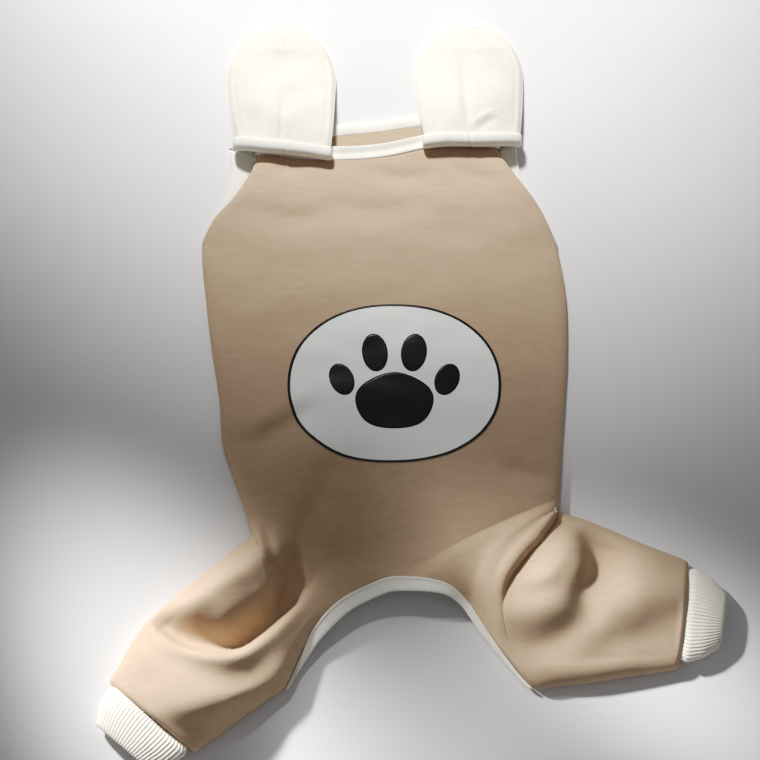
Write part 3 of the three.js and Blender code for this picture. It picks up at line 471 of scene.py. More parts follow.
def cloth_piece(name, grids):
    """A cloth wall from point grids, thickened inwards and kept above the floor."""
    points, faces, start = [], [], 0
    for grid, turned in grids:
        rows, columns = grid.shape[:2]
        points.append(place(grid.reshape(-1, 3)))
        faces.append(grid_faces(rows, columns, start, turned))
        start += rows * columns
    made = object_from(name, np.concatenate(points), np.concatenate(faces))
    weld(made, CLOTH_WELD, False)
    apply(made, "SOLIDIFY", "wall", thickness=WALL * MM, offset=-1, use_even_offset=False)
    for vertex in made.data.vertices:
        vertex.co.z = max(vertex.co.z, FLOOR_GAP * MM)
    made.data.shade_smooth()
    made.data.set_sharp_from_angle(angle=math.radians(SHARP_ANGLE))
    return made


def colour(red, green, blue):
    """A linear colour from its display values, 0 to 255."""
    return [((v / 255 + 0.055) / 1.055) ** 2.4 for v in (red, green, blue)] + [1]


def material_base(name, roughness, sheen):
    material = bpy.data.materials.new(name)
    material.use_nodes = True
    nodes, links = material.node_tree.nodes, material.node_tree.links
    shader = nodes["Principled BSDF"]
    shader.inputs["Roughness"].default_value = roughness
    shader.inputs["Sheen Weight"].default_value = sheen
    shader.inputs["Sheen Roughness"].default_value = 0.5
    shader.inputs["Specular IOR Level"].default_value = 0.25
    where = nodes.new("ShaderNodeTexCoord").outputs["Object"]
    return material, nodes, links, shader, where


def noise_node(nodes, links, where, scale, detail=2.0, roughness=0.5):
    node = nodes.new("ShaderNodeTexNoise")
    node.inputs["Scale"].default_value = scale
    node.inputs["Detail"].default_value = detail
    node.inputs["Roughness"].default_value = roughness
    links.new(where, node.inputs["Vector"])
    return node.outputs["Fac"]


def blend_colours(nodes, links, factor, low, high, first, second):
    """A colour that goes from first to second as the factor goes from low to high."""
    ramp = nodes.new("ShaderNodeMapRange")
    ramp.inputs["From Min"].default_value = low
    ramp.inputs["From Max"].default_value = high
    links.new(factor, ramp.inputs["Value"])
    node = nodes.new("ShaderNodeMix")
    node.data_type = "RGBA"
    links.new(ramp.outputs["Result"], node.inputs["Factor"])
    for socket, value in (("A", first), ("B", second)):
        target = next(s for s in node.inputs if s.name == socket and s.type == "RGBA")
        if isinstance(value, list):
            target.default_value = value
        else:
            links.new(value, target)
    return next(s for s in node.outputs if s.type == "RGBA")


def bump(nodes, links, height, distance, strength, before=None):
    node = nodes.new("ShaderNodeBump")
    node.inputs["Distance"].default_value = distance * MM
    node.inputs["Strength"].default_value = strength
    links.new(height, node.inputs["Height"])
    if before is not None:
        links.new(before, node.inputs["Normal"])
    return node.outputs["Normal"]


def stretched(nodes, links, where, scale):
    """The object's places with each axis scaled, for a grain that runs one way."""
    node = nodes.new("ShaderNodeMapping")
    node.inputs["Scale"].default_value = scale
    links.new(where, node.inputs["Vector"])
    return node.outputs["Vector"]


FLEECE_DEEP = colour(187, 160, 133)
FLEECE_PALE = colour(196, 169, 143)


def fleece_material():
    """Brushed sweatshirt knit: soft beige streaks across the cloth and a short matt nap."""
    material, nodes, links, shader, where = material_base("fleece", 0.95, 0.12)
    streaks = noise_node(nodes, links, stretched(nodes, links, where, (0.4, 1.5, 1.5)), 230, 4, 0.6)
    fuzz = noise_node(nodes, links, where, 900, 3, 0.6)
    cloud = noise_node(nodes, links, stretched(nodes, links, where, (0.6, 1.4, 1.4)), 46, 3, 0.55)
    base = blend_colours(nodes, links, streaks, 0.3, 0.7, FLEECE_DEEP, FLEECE_PALE)
    worn = blend_colours(nodes, links, cloud, 0.4, 0.9, base, FLEECE_PALE)
    links.new(worn, shader.inputs["Base Color"])
    rough = bump(nodes, links, streaks, 0.3, 0.35)
    links.new(bump(nodes, links, fuzz, 0.25, 0.35, rough), shader.inputs["Normal"])
    shader.inputs["Sheen Tint"].default_value = colour(236, 222, 206)
    return material


def jersey_material(name, pale, deep, scale=520):
    """Fine cream jersey with a close stitch."""
    material, nodes, links, shader, where = material_base(name, 0.9, 0.25)
    stitch = noise_node(nodes, links, where, scale, 2, 0.5)
    cloud = noise_node(nodes, links, where, 60, 2, 0.5)
    base = blend_colours(nodes, links, cloud, 0.3, 0.7, deep, pale)
    fine = blend_colours(nodes, links, stitch, 0.3, 0.7, base, pale)
    links.new(fine, shader.inputs["Base Color"])
    links.new(bump(nodes, links, stitch, 0.3, 0.45), shader.inputs["Normal"])
    shader.inputs["Sheen Tint"].default_value = colour(250, 246, 238)
    return material


def film_material(name, pale, deep, roughness):
    """A smooth printed film that takes a little of the cloth's grain."""
    material, nodes, links, shader, where = material_base(name, roughness, 0)
    shader.inputs["Specular IOR Level"].default_value = 0.4
    grain = noise_node(nodes, links, where, 420, 2, 0.5)
    cloud = noise_node(nodes, links, where, 45, 2, 0.5)
    links.new(blend_colours(nodes, links, cloud, 0.3, 0.7, pale, deep), shader.inputs["Base Color"])
    links.new(bump(nodes, links, grain, 0.12, 0.35), shader.inputs["Normal"])
    return material


FLEECE = fleece_material()
TRIM = jersey_material("trim_knit", colour(243, 240, 230), colour(233, 228, 214))
RIB = jersey_material("rib_knit", colour(240, 235, 222), colour(230, 224, 208), 700)
EAR = jersey_material("ear_knit", colour(236, 229, 217), colour(227, 219, 205), 420)
PALE_FILM = film_material("print_white", colour(252, 252, 247), colour(247, 247, 241), 0.45)
DARK_FILM = film_material("print_black", colour(22, 22, 24), colour(28, 28, 30), 0.34)


def back_panel():
    grids = [(grid_of(side, "upper", 0, HIP_SECTION, ACROSS_STEPS), side == "right")
             for side in SIGN]
    made = cloth_piece("back_panel_cloth", grids)
    finish_piece(made, "back_panel", FLEECE)
    return made


def belly_panel():
    grids = [(grid_of(side, "lower", 0, HIP_SECTION, BASE_STEPS), side == "left")
             for side in SIGN]
    made = cloth_piece("belly_panel_cloth", grids)
    finish_piece(made, "belly_panel", FLEECE)
    return made


def sunk_start(side, upper):
    """Lets the start of a leg run in under the body's rolled edge."""
    rows, columns = upper.shape[:2]
    over = overlap_of(side, np.linspace(0, 1, columns))
    some = np.minimum(1, over / OVERLAP_FULL)
    ahead = np.arange(rows) / SECTION_STEPS
    drop = LEG_SUNK * (1 - ease(0, LEG_SUNK_ROWS, ahead))[:, None] * some
    back = direction(LEG_HEADING[side])
    inward = LEG_INSIDE * (1 - ease(0, LEG_INSIDE_ROWS, ahead))[:, None] * some
    sunk = upper.copy()
    sunk[..., 2] -= drop
    sunk[..., 0] -= back[0] * inward
    sunk[..., 1] -= back[1] * inward
    return sunk


def tucked_row(row):
    """A row of points drawn in a little, so that a leg starts just inside the body's wall."""
    middle = row.mean(axis=1, keepdims=True)
    return middle + (row - middle) * TUCK_SHARE - [0, 0, TUCK_DROP]


# The left leg's first row: its share of the body's width there, its drop and its sections.
TUCK_SHARE = 0.985
TUCK_DROP = 0.3
TUCK_ROWS = 0.1
# Each leg's cloth laid flat: its size and its area.
LEG_FLAT = {"left": ((0.17, 0.11), 0.0158), "right": ((0.19, 0.11), 0.0189)}


def leg(side):
    last = LAST_SECTION[side]
    turned = side == "right"
    upper = sunk_start(side, grid_of(side, "upper", HIP_SECTION, last, ACROSS_STEPS))
    lower = grid_of(side, "lower", HIP_SECTION, last, ACROSS_STEPS)
    if side == "left":
        inside = HIP_SECTION - TUCK_ROWS
        tucked = [tucked_row(grid_of(side, layer, inside, HIP_SECTION, ACROSS_STEPS)[:1])
                  for layer in ("upper", "lower")]
        upper, lower = (np.concatenate([row, grid]) for row, grid in zip(tucked, (upper, lower)))
    grids = [(upper, turned), (lower, not turned)]
    made = cloth_piece("leg_%s_cloth" % side, grids)
    flat, area = LEG_FLAT[side]
    finish_piece(made, "leg_" + side, FLEECE)
    return made


def band(name, stations, profile, closed):
    """A band swept along stations of (point, out, face, width, gap, proud, thickness).

    The profile holds places across the band and into it, as shares of its width and thickness."""
    profile = np.array(profile, float)
    points = []
    for point, out, face, width, gap, proud, thickness in stations:
        for u, v in profile:
            points.append(point + out * (gap + u * width) + face * (proud - v * thickness))
    count, sides = len(stations), len(profile)
    faces = []
    for i in range(count if closed else count - 1):
        for j in range(sides):
            a, b = i * sides + j, i * sides + (j + 1) % sides
            step = ((i + 1) % count) * sides
            faces.append((a, b, step + (j + 1) % sides, step + j))
    if not closed:
        faces.append(tuple(range(sides))[::-1])
        faces.append(tuple((count - 1) * sides + j for j in range(sides)))
    made = object_from(name, place(points), faces)
    weld(made, 0.005)
    return made


def soft_profile(steps=7, groove=0.0, groove_at=0.5, corner=0.32, groove_width=0.09):
    """A flat rounded section, as shares across and into a band, with a groove on its face."""
    places = []
    for k in range(steps + 1):
        u = corner + (1 - 2 * corner) * k / steps
        places.append((u, groove * bell((u - groove_at) / groove_width, 1) ** 0.7))
    turns = [(0.5, 0.09), (0.85, 0.28), (1.0, 0.5), (0.85, 0.72), (0.5, 0.91)]
    ends = [(1 - corner + corner * a, v) for a, v in turns]
    backs = [(1 - corner - (1 - 2 * corner) * k / 2, 1.0) for k in range(3)]
    starts = [(corner - corner * a, 1 - v) for a, v in turns]
    return places + ends + backs + starts


# Section of a full, round-cornered bar, as shares across and into it.
ROUND_PROFILE = [(0.5 - 0.5 * abs(math.cos(t)) ** 0.75 * math.copysign(1, math.cos(t)),
                  0.5 - 0.5 * abs(math.sin(t)) ** 0.85 * math.copysign(1, math.sin(t)))
                 for t in np.linspace(0, 2 * math.pi, 28, endpoint=False)]


def normals_of(points, closed=True):
    """Unit directions along a row of points."""
    points = np.asarray(points)
    ahead = np.roll(points, -1, 0) - np.roll(points, 1, 0)
    if not closed:
        ahead[0] = points[1] - points[0]
        ahead[-1] = points[-1] - points[-2]
    return ahead / np.maximum(np.linalg.norm(ahead, axis=1, keepdims=True), 1e-9)


def neck_binding():
    """The binding round the neck mouth: the back panel's edge, then the belly panel's."""
    share = np.linspace(0, 1, 49)
    zero = np.zeros_like(share)
    upper_left = cloth("left", "upper", zero, share)
    upper_right = cloth("right", "upper", zero, share)[::-1][1:]
    lower_right = cloth("right", "lower", zero, share)[1:]
    lower_left = cloth("left", "lower", zero, share)[::-1][1:-1]
    points = np.concatenate([upper_left, upper_right, lower_right, lower_left])
    centre = points.mean(0)
    along = normals_of(points)
    out = np.array([0.0, 1.0, 0.0])
    faces = np.cross(along, out)
    faces /= np.linalg.norm(faces, axis=1, keepdims=True)
    faces *= np.sign(np.sum(faces * [0, 0, 1], 1, keepdims=True)) * np.where(
        np.arange(len(points)) < len(upper_left) + len(upper_right), 1, -1)[:, None]
    for k, point in enumerate(points):
        if abs(faces[k][2]) < 0.15:
            faces[k] = np.array([np.sign(point[0] - centre[0]), 0, 0])
    faces = smooth_ring(faces, 3)
    upper_count = len(upper_left) + len(upper_right)
    place_on = np.arange(len(points))
    from_corner = np.minimum(place_on, upper_count - 1 - place_on)
    widths = mix(NECK_BAND_LOWER, NECK_BAND_WIDTH, ease(0, 8, from_corner))
    proud = np.where(place_on < upper_count, NECK_PROUD, 0.3)
    stations = [(p, out, f, w - 0.1, -0.6, high, BAND_THICKNESS)
                for p, f, w, high in zip(points, faces, widths, proud)]
    made = band("neck_binding_band", stations, soft_profile(14, 0.3, 0.5, 0.1, 0.2), True)
    return finish_piece(made, "neck_binding", TRIM)


def smooth_ring(vectors, rounds):
    """Evens out unit directions round a closed ring."""
    for _ in range(rounds):
        vectors = np.roll(vectors, 1, 0) + 2 * vectors + np.roll(vectors, -1, 0)
        vectors /= np.maximum(np.linalg.norm(vectors, axis=1, keepdims=True), 1e-9)
    return vectors


def away_from(points, inward, closed=False):
    """Unit plan directions across a row of points, away from the cloth."""
    along = normals_of(points, closed) * [1, 1, 0]
    away = np.stack([-along[:, 1], along[:, 0], np.zeros(len(points))], -1)
    away /= np.maximum(np.linalg.norm(away, axis=1, keepdims=True), 1e-9)
    side = np.sign(np.sum(away * (np.asarray(inward) - points), 1))
    return -away * side[:, None]


# Section of the rear binding: a thin raised roll by the fleece, then a flat face.
REAR_PROFILE = [(0.0, 0.3), (0.03, 0.08), (0.09, -0.05), (0.16, 0.0), (0.21, 0.18), (0.3, 0.22),
                (0.55, 0.22), (0.8, 0.26), (0.93, 0.36), (1.0, 0.55), (0.94, 0.8), (0.8, 0.92),
                (0.5, 1.0), (0.2, 1.0), (0.06, 0.92), (0.0, 0.7)]


def rear_binding():
    """The binding round the arched opening, over the back panel's edge and the belly panel's."""
    at = np.linspace(ARCH_SECTION, HIP_SECTION, 41)
    one = np.ones_like(at)
    stations = []

    def run(side, layer, backwards):
        points = cloth(side, layer, at, one)
        inward = cloth(side, layer, at, one * 0.9)
        away = away_from(points, inward)
        away[0] = [0, -1, 0]
        whole = 1 - ease(HIP_SECTION - 2.6, HIP_SECTION, at)
        face = np.array([0, 0, 1.0 if layer == "upper" else -1.0])
        full = np.full_like(at, REAR_BAND_LOWER)
        if layer == "upper":
            full = mix(REAR_BAND_WIDTH, REAR_BAND_RIGHT if side == "right" else REAR_BAND_WIDTH,
                       ease(ARCH_SECTION, ARCH_SECTION + 2.2, at))
        made = [(p, a, face, mix(1.6, f, w), mix(0.5, -0.3, w),
                 1.0 if layer == "upper" else 0.1, BAND_THICKNESS * mix(0.6, 1, w))
                for p, a, f, w in zip(points, away, full, whole)]
        stations.extend(made[::-1] if backwards else made)

    run("left", "upper", True)
    stations.pop()
    run("right", "upper", False)
    run("right", "lower", True)
    stations.pop()
    run("left", "lower", False)
    made = band("rear_binding_band", stations, REAR_PROFILE, True)
    return finish_piece(made, "rear_binding", TRIM)


def armhole_band(side):
    """A wide flat run outside the belly panel's edge and a narrow one under the back panel's."""
    at = np.linspace(0.25, UNDERARM_SECTION - 0.25, 31)
    zero = np.zeros_like(at)
    stations = []
    upper = cloth(side, "upper", at, zero)
    out = away_from(upper, cloth(side, "upper", at, zero + 0.1))
    flat = BAND_THICKNESS - SEAM_GAP / 2
    for point, way in zip(upper, out):
        tuck = float(ease(flat + ARM_HEM + 1, flat + ARM_HEM + 3, point[2]))
        stations.append((point, way, np.array([0, 0, 1.0]), ARM_HEM, mix(0.2, -ARM_HEM, tuck),
                         -0.2, BAND_THICKNESS * 0.7))
    lower_at = np.linspace(UNDERARM_SECTION, 0, 33)
    lower = cloth(side, "lower", lower_at, np.zeros_like(lower_at))
    low_out = away_from(lower, cloth(side, "lower", lower_at, np.zeros_like(lower_at) + 0.1))
    widths = smooth(ARM_BAND[side], lower_at)
    for k, (point, way, width) in enumerate(zip(lower, low_out, widths)):
        end = k in (0, len(lower) - 1)
        face = np.array([0, -1.0 if k == 0 else 1.0, 0]) if end else np.array([0, 0, -1.0])
        point = np.array([point[0], point[1], flat / 2 if end else -SEAM_GAP / 2])
        slim = float(ease(2.2, 3.0, lower_at[k]))
        gap = mix(0.5 if end else 0.2, -0.5, slim)
        proud = (BAND_THICKNESS / 2 if end else 0) * (1 - slim)
        stations.append((point, way, face, max(width, ARM_HEM), gap, proud,
                         BAND_THICKNESS * mix(1, 0.5, slim)))
    made = band("armhole_band_%s_knit" % side, stations, soft_profile(9, 0.0, 0.5, 0.14), True)
    return finish_piece(made, "armhole_band_" + side, TRIM)


def cuff_outline(half_width, half_height, count):
    """Points round a flattened tube, evenly spaced."""
    turn = np.linspace(0, 2 * math.pi, 721)
    x = np.sign(np.cos(turn)) * np.abs(np.cos(turn)) ** 0.7 * half_width
    z = np.sign(np.sin(turn)) * np.abs(np.sin(turn)) ** 0.8 * half_height
    length = np.concatenate([[0], np.cumsum(np.hypot(np.diff(x), np.diff(z)))])
    even = np.linspace(0, length[-1], count, endpoint=False)
    return np.interp(even, length, x), np.interp(even, length, z)


def cuff(side):
    """A ribbed cuff: a flattened tube with fine ribs along it."""
    sign = SIGN[side]
    end = SECTIONS[side][-1]
    outer, inner = end[0:2], end[2:4]
    middle = (outer + inner) / 2
    seam = (outer - inner) / np.linalg.norm(outer - inner)
    ahead = direction(CUFF_HEADING[side])
    square = np.array([-ahead[1] * sign, ahead[0] * sign])
    ribs = round(2 * LEG_END_WIDTH / RIB_PITCH)
    points_per_rib = 6
    count = ribs * points_per_rib
    table = np.array(CUFF_SECTIONS)
    rings = []
    rows = [(row, 0.0) for row in np.linspace(0, 1, 17)]
    rows += [(row, WALL) for row in np.linspace(1, 0, 9)]
    for row, inset in rows:
        place_in = np.interp(row, table[:, 0], np.arange(len(table)))
        width = smooth(table[:, 1 if side == "left" else 2], place_in)
        height = smooth(table[:, 3], place_in)
        way = mix(seam, square, row)
        way /= np.linalg.norm(way)
        centre = middle + ahead * (-3.5 + row * (CUFF_LENGTH + 5))
        roll = 0.9 * (1 - ease(0.0, 0.12, 1 - row)) + 3.4 * (1 - ease(0.08, 0.3, row))
        x, z = cuff_outline(width * LEG_END_WIDTH / 2 - inset - roll,
                            height * CUFF_HEIGHT / 2 - inset - roll, count)
        if inset == 0:
            wave = 0.5 - 0.5 * np.cos(np.arange(count) / points_per_rib * 2 * math.pi)
            scale = 1 - RIB_DEPTH * wave / np.maximum(np.hypot(x, z), 3)
            x, z = x * scale, z - np.sign(z) * RIB_DEPTH * wave * np.minimum(1, np.abs(z) / 2)
        sag = 0.6 * np.sin(x / 9.0 + row * 1.5) * (z > 0)
        plan = centre + way * x[:, None]
        rings.append(np.column_stack([plan, height * CUFF_HEIGHT / 2 + z + sag]))
    points = np.concatenate(rings)
    faces = []
    for i in range(len(rings)):
        for j in range(count):
            a, b = i * count + j, i * count + (j + 1) % count
            step = ((i + 1) % len(rings)) * count
            faces.append((a, b, step + (j + 1) % count, step + j))
    made = object_from("cuff_%s_rib" % side, place(points), faces)
    weld(made, 0.001)
    return finish_piece(made, "cuff_" + side, RIB)


def ear_middle(side):
    return SIGN[side] * (HALF_CHEST * BODY_SECTIONS[0][5] - EAR_INSET)


def shoulder_height(side, x):
    """The height of the ear band's lower face along the shoulder."""
    low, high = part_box("ear_band_" + side)
    thickness = EAR_BASE + 5 * SEAM_GAP + 2 * EAR_BAND_WALL
    top = high[2] / MM - OFFSET[2] - thickness
    foot = low[2] / MM - OFFSET[2]
    inner = abs(ear_middle(side)) - EAR_BAND_LENGTH / 2
    share = np.clip((np.abs(x) - inner) / EAR_BAND_LENGTH, 0, 1)
    return top - (top - foot) * share ** 4


# Pleats of the ears: place across at the start and end, where they start and end as shares of
# the ear's length, width and lift.
EAR_PLEATS = {
    "left": [(-0.03, 0.05, 0.0, 0.42, 1.3, -2.0), (-0.09, -0.03, 0.0, 0.4, 2.2, 1.0),
             (0.06, 0.18, 0.25, 0.55, 4.5, -1.1), (0.3, 0.26, 0.0, 0.45, 6, 0.8),
             (-0.1, -0.05, 0.5, 0.86, 9, -1.0), (-0.6, -0.5, 0.0, 0.3, 4, -0.7)],
    "right": [(-0.06, -0.12, 0.14, 0.78, 2.6, -1.7), (-0.2, -0.24, 0.14, 0.8, 6, 0.9),
              (0.02, 0.42, 0.12, 0.24, 2.0, 1.4), (0.1, 0.45, 0.06, 0.18, 2.2, -1.3),
              (0.7, 0.6, 0.0, 0.4, 5, -0.8), (-0.7, -0.6, 0.0, 0.3, 4, -0.7)],
}

# Where the middle of each ear band lies, right and down of the neck's middle, from its left end.
BAND_PLACES = {"left": [4.6, 2.4, 0.3, -1.7, -4.2], "right": [3.6, 5.3, 5.1, 6.2, 7.6]}
BAND_TILT = {"left": 1.0, "right": 0.4}
EAR_SHIFT = {"left": -1.6, "right": -1.4}


def band_middle(side, x):
    share = np.clip((x - ear_middle(side)) / EAR_BAND_LENGTH + 0.5, 0, 1)
    return smooth(BAND_PLACES[side], share * (len(BAND_PLACES[side]) - 1))


def ear(side):
    """A padded ear, caught in its band and lying down behind the neck."""
    rows, columns = 64, 60
    turn = np.linspace(0, QUARTER, rows - 24)
    shares = np.concatenate([np.linspace(0, EAR_SHOULDER, 25)[:-1],
                             EAR_SHOULDER + (1 - EAR_SHOULDER) * np.sin(turn)])
    top, bottom = [], []
    for t in shares:
        waist = 1 - EAR_WAIST * max(0, 1 - t / EAR_SHOULDER) ** CROWN_POWER
        round_top = 1 - max(0, (t - EAR_SHOULDER) / (1 - EAR_SHOULDER)) ** 2
        half = (EAR_WIDTH / 2) * min(waist, math.sqrt(max(0.0004, round_top)))
        u = -np.cos(np.linspace(0, math.pi, columns + 1))
        shift = EAR_SHIFT[side] * float(ease(0, 0.5, t))
        x = ear_middle(side) + u * half + shift
        start = band_middle(side, x) + 0.8
        y = start + t * (EAR_LENGTH - start)
        length = EAR_LENGTH - float(start.mean())
        edge_way = np.minimum((1 - np.abs(u)) * half, (1 - t) * length)
        rim = ease(0, 3.5, edge_way)
        full = (1 - u * u) * ease(0, 0.35, t) * float(np.minimum(1, (1 - t) * 4 + 0.1))
        edge = mix(EAR_BASE, EAR_RIM, float(ease(0, 0.3, t)))
        thickness = edge * np.sqrt(np.clip(rim, 0.03, 1)) + (EAR_THICKNESS - EAR_RIM) * full
        seam_roll = -0.6 * bell(edge_way - 4.2, 1.4) * float(ease(0.02, 0.2, t))
        pleats = np.zeros_like(x)
        for first, last, begins, ends, width, lift in EAR_PLEATS[side]:
            along = (t - begins) / (ends - begins)
            line = ear_middle(side) + shift + mix(first, last, np.clip(along, 0, 1)) * EAR_WIDTH / 2
            soft = 0.12 if begins > 0 else 0.001
            fade = float(ease(-soft, soft, along) * (1 - ease(0.55, 1.05, along)))
            pleats += lift * fade * bell(x - line, width * (1 + 0.9 * float(np.clip(along, 0, 1))))
        waves = np.array([noise.noise(Vector((px / 17, py / 19, 5.0 + SIGN[side])))
                          for px, py in zip(x, y)])
        caught = shoulder_height(side, x) + EAR_BAND_WALL + 2.5 * SEAM_GAP + EAR_BASE / 2 - 0.8
        middle = mix(caught, thickness / 2, float(ease(0, 0.75, t)))
        inside = ease(0, 6, edge_way) * float(ease(0, 0.09, t) * 0.8 + 0.2)
        lift = (pleats + 0.7 * waves + seam_roll) * inside
        top.append(np.column_stack([x, y, middle + thickness / 2 + lift]))
        bottom.append(np.column_stack([x, y, np.maximum(0.0, middle - thickness / 2)]))
    rows = len(shares)
    width = columns + 1
    upper = grid_faces(rows, width)
    lower = grid_faces(rows, width, rows * width, True)
    loop = [(0, j) for j in range(columns)] + [(i, columns) for i in range(rows - 1)]
    loop += [(rows - 1, j) for j in range(columns, 0, -1)]
    loop += [(i, 0) for i in range(rows - 1, 0, -1)]
    ids = [i * width + j for i, j in loop]
    rim_faces = [(b, a, a + rows * width, b + rows * width)
                 for a, b in zip(ids, ids[1:] + ids[:1])]
    points = np.concatenate(top + bottom)
    made = object_from("ear_%s_knit" % side, place(points),
                       [*map(tuple, upper), *map(tuple, lower), *rim_faces])
    weld(made, 0.01)
    finish_piece(made, "ear_" + side, EAR)
    return made


def ear_band(side):
    """The raised band that catches the ear's base: a soft bar, pinched by a stitch."""
    height = EAR_BASE + 5 * SEAM_GAP + 2 * EAR_BAND_WALL
    stations = []
    steps = 120
    sign = SIGN[side]
    for k in range(steps + 1):
        place_along = k / steps - 0.5
        x = ear_middle(side) + place_along * EAR_BAND_LENGTH
        pinch = bell(place_along * EAR_BAND_LENGTH + sign * 1.5, 1.1)
        from_end = (0.5 - abs(place_along)) * EAR_BAND_LENGTH
        ends = float(np.sqrt(np.clip(from_end / 2.5, 0, 1) * (2 - np.clip(from_end / 2.5, 0, 1))))
        tall = height * (1 - 0.13 * pinch) * mix(0.45, 1, ends)
        wide = (EAR_BAND_WIDTH - 0.3) * (1 - 0.1 * pinch) * mix(0.6, 1, ends)
        raised = BAND_TILT[side] * float(ease(0.1, 0.5, sign * place_along)) * 3
        z = float(shoulder_height(side, np.array(x))) + raised + height / 2 + tall / 2
        wobble = 0.2 * noise.noise(Vector((x / 9, 1.7 * sign, 0)))
        middle = float(band_middle(side, np.array(x)))
        point = np.array([x, middle - wide / 2, z + wobble])
        stations.append((point, np.array([0, 1.0, 0]), np.array([0, 0, 1.0]), wide, 0, 0, tall))
    made = band("ear_band_%s_knit" % side, stations, ROUND_PROFILE, False)
    return finish_piece(made, "ear_band_" + side, TRIM)


def film(name, ground, outline, inner, lift, material, rings=26, turns=120):
    """A thin printed film on the cloth. outline gives plan points at a share out and a turn."""
    shares = np.linspace(inner, 1, rings + 1 if inner == 0 else 4)
    angle = np.linspace(0, 2 * math.pi, turns, endpoint=False)
    points = []
    for share in shares if inner else shares[1:]:
        for x, y in outline(share, angle):
            points.append(ground(x, y, lift))
    count = len(points) // turns
    ids = np.arange(count * turns).reshape(count, turns)
    following = np.roll(ids, -1, 1)
    faces = [tuple(f) for f in np.stack(
        [ids[:-1], ids[1:], following[1:], following[:-1]], -1).reshape(-1, 4)]
    if inner == 0:
        x, y = outline(0, angle)[0]
        points.append(ground(x, y, lift))
        faces += [(len(points) - 1, a, b) for a, b in zip(ids[0], following[0])]
    made = object_from(name, points, faces)
    apply(made, "SOLIDIFY", "film", thickness=FILM_THICKNESS * MM, offset=1)
    made.data.shade_smooth()
    return finish_piece(made, None, material)


PANEL_MIDDLE = (10, -150)
PANEL_HALF = (63, 48)
OUTLINE_WIDTH = 1.6
PAW_MIDDLE = (10, -161)
PAW_HALF = (23, 17)
# Toe pads: place right and up of the paw's middle, half width, half length and turn.
TOES = [(-31, 13, 7, 10, 24), (-11.5, 29, 7.6, 11.5, 8), (11.5, 29, 7.6, 11.5, -8),
        (31, 13, 7, 10, -24)]
# How high the films lie on the cloth, in millimetres, and how thick they are.
PANEL_LIFT = 0.3
INK_LIFT = 0.48
FILM_THICKNESS = 0.12


def prints(back):
    """A pale oval panel with a thin dark outline and a dark paw print."""
    tree = BVHTree.FromObject(back, bpy.context.evaluated_depsgraph_get())

    def ground(x, y, lift):
        above = Vector(place((x, y, 80)))
        hit, normal, _, _ = tree.ray_cast(above, Vector((0, 0, -1)))
        return hit + normal * lift * MM

    def oval(share, angle):
        across = np.sign(np.cos(angle)) * np.abs(np.cos(angle)) ** 0.92
        down = np.sign(np.sin(angle)) * np.abs(np.sin(angle)) ** 0.92
        return np.column_stack([PANEL_MIDDLE[0] + PANEL_HALF[0] * share * across,
                                PANEL_MIDDLE[1] + PANEL_HALF[1] * share * down])

    def pad(share, angle):
        wide = 1 - 0.16 * np.sin(angle) - 0.07 * np.cos(3 * angle + QUARTER)
        return np.column_stack([PAW_MIDDLE[0] + PAW_HALF[0] * share * np.cos(angle) * wide,
                                PAW_MIDDLE[1] + PAW_HALF[1] * share * np.sin(angle)])

    def toe(right, up, half_width, half_length, turn):
        way = direction(90 + turn)
        side = np.array([way[1], -way[0]])

        def outline(share, angle):
            middle = np.array([PAW_MIDDLE[0] + right, PAW_MIDDLE[1] + up])
            return (middle + np.outer(np.cos(angle), side) * half_width * share
                    + np.outer(np.sin(angle), way) * half_length * share)
        return outline

    film("print_panel", ground, oval, 0, PANEL_LIFT, PALE_FILM, 44, 220)
    film("print_outline", ground, oval, 1 - OUTLINE_WIDTH / PANEL_HALF[0], INK_LIFT,
         DARK_FILM, turns=240)
    film("print_pad", ground, pad, 0, INK_LIFT, DARK_FILM,
         14, 96)
    for k, numbers in enumerate(TOES):
        film("print_toe_%d" % (k + 1), ground, toe(*numbers), 0, INK_LIFT,
             DARK_FILM, 8, 64)


def floor():
    half = 3.0
    made = object_from("floor", [(-half, -half, 0), (half, -half, 0), (half, half, 0),
                                 (-half, half, 0)], [(0, 1, 2, 3)], False)
    material, nodes, links, shader, where = material_base("pale_floor", 0.9, 0)
    cloud = noise_node(nodes, links, where, 6, 2, 0.5)
    shade = blend_colours(nodes, links, cloud, 0.3, 0.7, colour(226, 225, 224),
                          colour(232, 231, 230))
    links.new(shade, shader.inputs["Base Color"])
    made.data.materials.append(material)
    return made


# The window light over the chest and ears: place, aim, cone in degrees, soft share, power.
WINDOW = ((-0.24, 1.0, 1.04), (-0.03, 0.452, 0), 33.4, 0.45, 146)
WINDOW_SIZE = 0.11
# Lights from the far left on the hind legs and below the rear arch: name, place, aim, size,
# spread in degrees, power.
LOW_LIGHTS = [
    ("left_leg_light", (-0.62, 0.50, 0.52), (-0.125, -0.205, 0), 0.14, 7, 0.15),
    ("right_leg_light", (-0.56, 0.33, 0.58), (0.14, -0.175, 0), 0.1, 7.3, 0.066),
    ("arch_light", (-0.30, 0.35, 0.80), (0.01, -0.25, 0), 0.14, 6.5, 0.038),
]
WORLD_STRENGTH = 0.215


def lamp_object(name, lamp, at, aim):
    made = bpy.data.objects.new(name, lamp)
    made.location = at
    made.rotation_euler = (Vector(aim) - Vector(at)).to_track_quat("-Z", "Y").to_euler()
    bpy.context.scene.collection.objects.link(made)


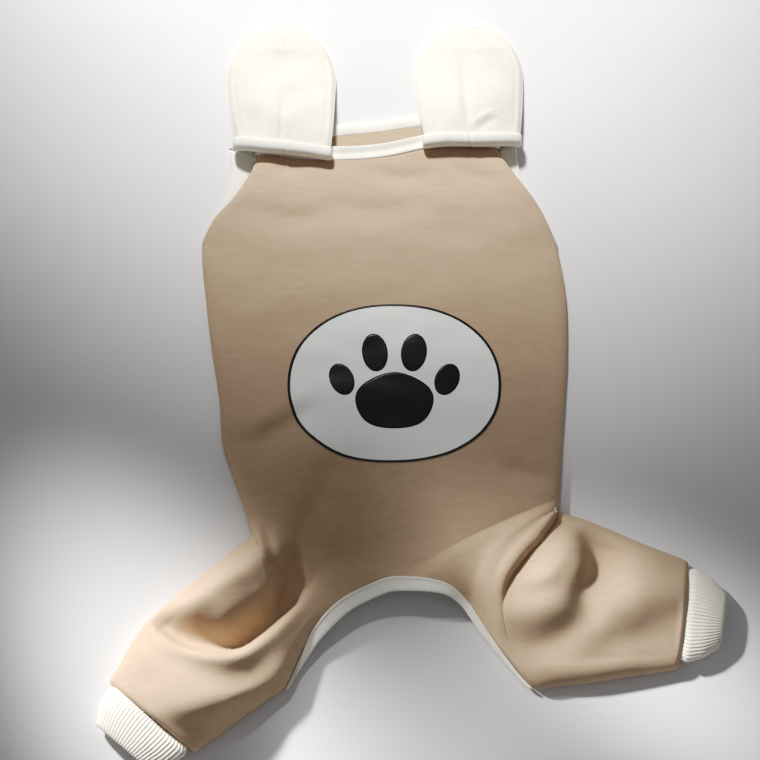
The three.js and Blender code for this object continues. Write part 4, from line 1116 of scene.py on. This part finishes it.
def lamps():
    at, aim, cone, soft, power = WINDOW
    lamp = bpy.data.lights.new("window", "SPOT")
    lamp.shadow_soft_size = WINDOW_SIZE
    lamp.spot_size = math.radians(cone)
    lamp.spot_blend = soft
    lamp.energy = power
    lamp_object("window", lamp, at, aim)
    for name, at, aim, size, spread, power in LOW_LIGHTS:
        lamp = bpy.data.lights.new(name, "AREA")
        lamp.shape = "DISK"
        lamp.size = size
        lamp.spread = math.radians(spread)
        lamp.energy = power
        lamp_object(name, lamp, at, aim)


def lights():
    """A window's light from the far left, small pools on the legs, and a little sky."""
    lamps()
    world = bpy.data.worlds.new("studio")
    world.use_nodes = True
    world.node_tree.nodes["Background"].inputs["Color"].default_value = (0.96, 0.97, 1.0, 1)
    world.node_tree.nodes["Background"].inputs["Strength"].default_value = WORLD_STRENGTH
    bpy.context.scene.world = world


# The camera's elevation in degrees, its distance and the width that it sees, in metres.
CAMERA_ELEVATION = 75
CAMERA_DISTANCE = 1.4
VIEW_WIDTH = 0.456
VIEW_MIDDLE = (1.5, -142, 0)


def camera():
    lens = bpy.data.cameras.new("camera")
    lens.sensor_width = 36
    lens.lens = 36 * CAMERA_DISTANCE / VIEW_WIDTH
    made = bpy.data.objects.new("camera", lens)
    rise = math.radians(CAMERA_ELEVATION)
    away = Vector((0, -math.cos(rise), math.sin(rise)))
    made.location = Vector(place(VIEW_MIDDLE)) + away * CAMERA_DISTANCE
    made.rotation_euler = (-away).to_track_quat("-Z", "Y").to_euler()
    bpy.context.scene.collection.objects.link(made)
    bpy.context.scene.camera = made


# How the photo's exposure bends the light: a slight toe, and a softer rise in the bright part.
EXPOSURE_CURVE = [(0.0, 0.0), (0.05, 0.036), (0.12, 0.118), (0.365, 0.375), (1.0, 0.74)]


def camera_curve():
    view = bpy.context.scene.view_settings
    view.view_transform = "Standard"
    view.use_curve_mapping = True
    curve = view.curve_mapping.curves[3]
    for x, y in EXPOSURE_CURVE[1:-1]:
        curve.points.new(x, y)
    curve.points[0].location = EXPOSURE_CURVE[0]
    curve.points[len(curve.points) - 1].location = EXPOSURE_CURVE[-1]
    view.curve_mapping.update()


camera()
lights()
floor()
back = back_panel()
belly_panel()
neck_binding()
rear_binding()
for side in SIGN:
    leg(side)
    cuff(side)
    armhole_band(side)
    ear(side)
    ear_band(side)
prints(back)
camera_curve()
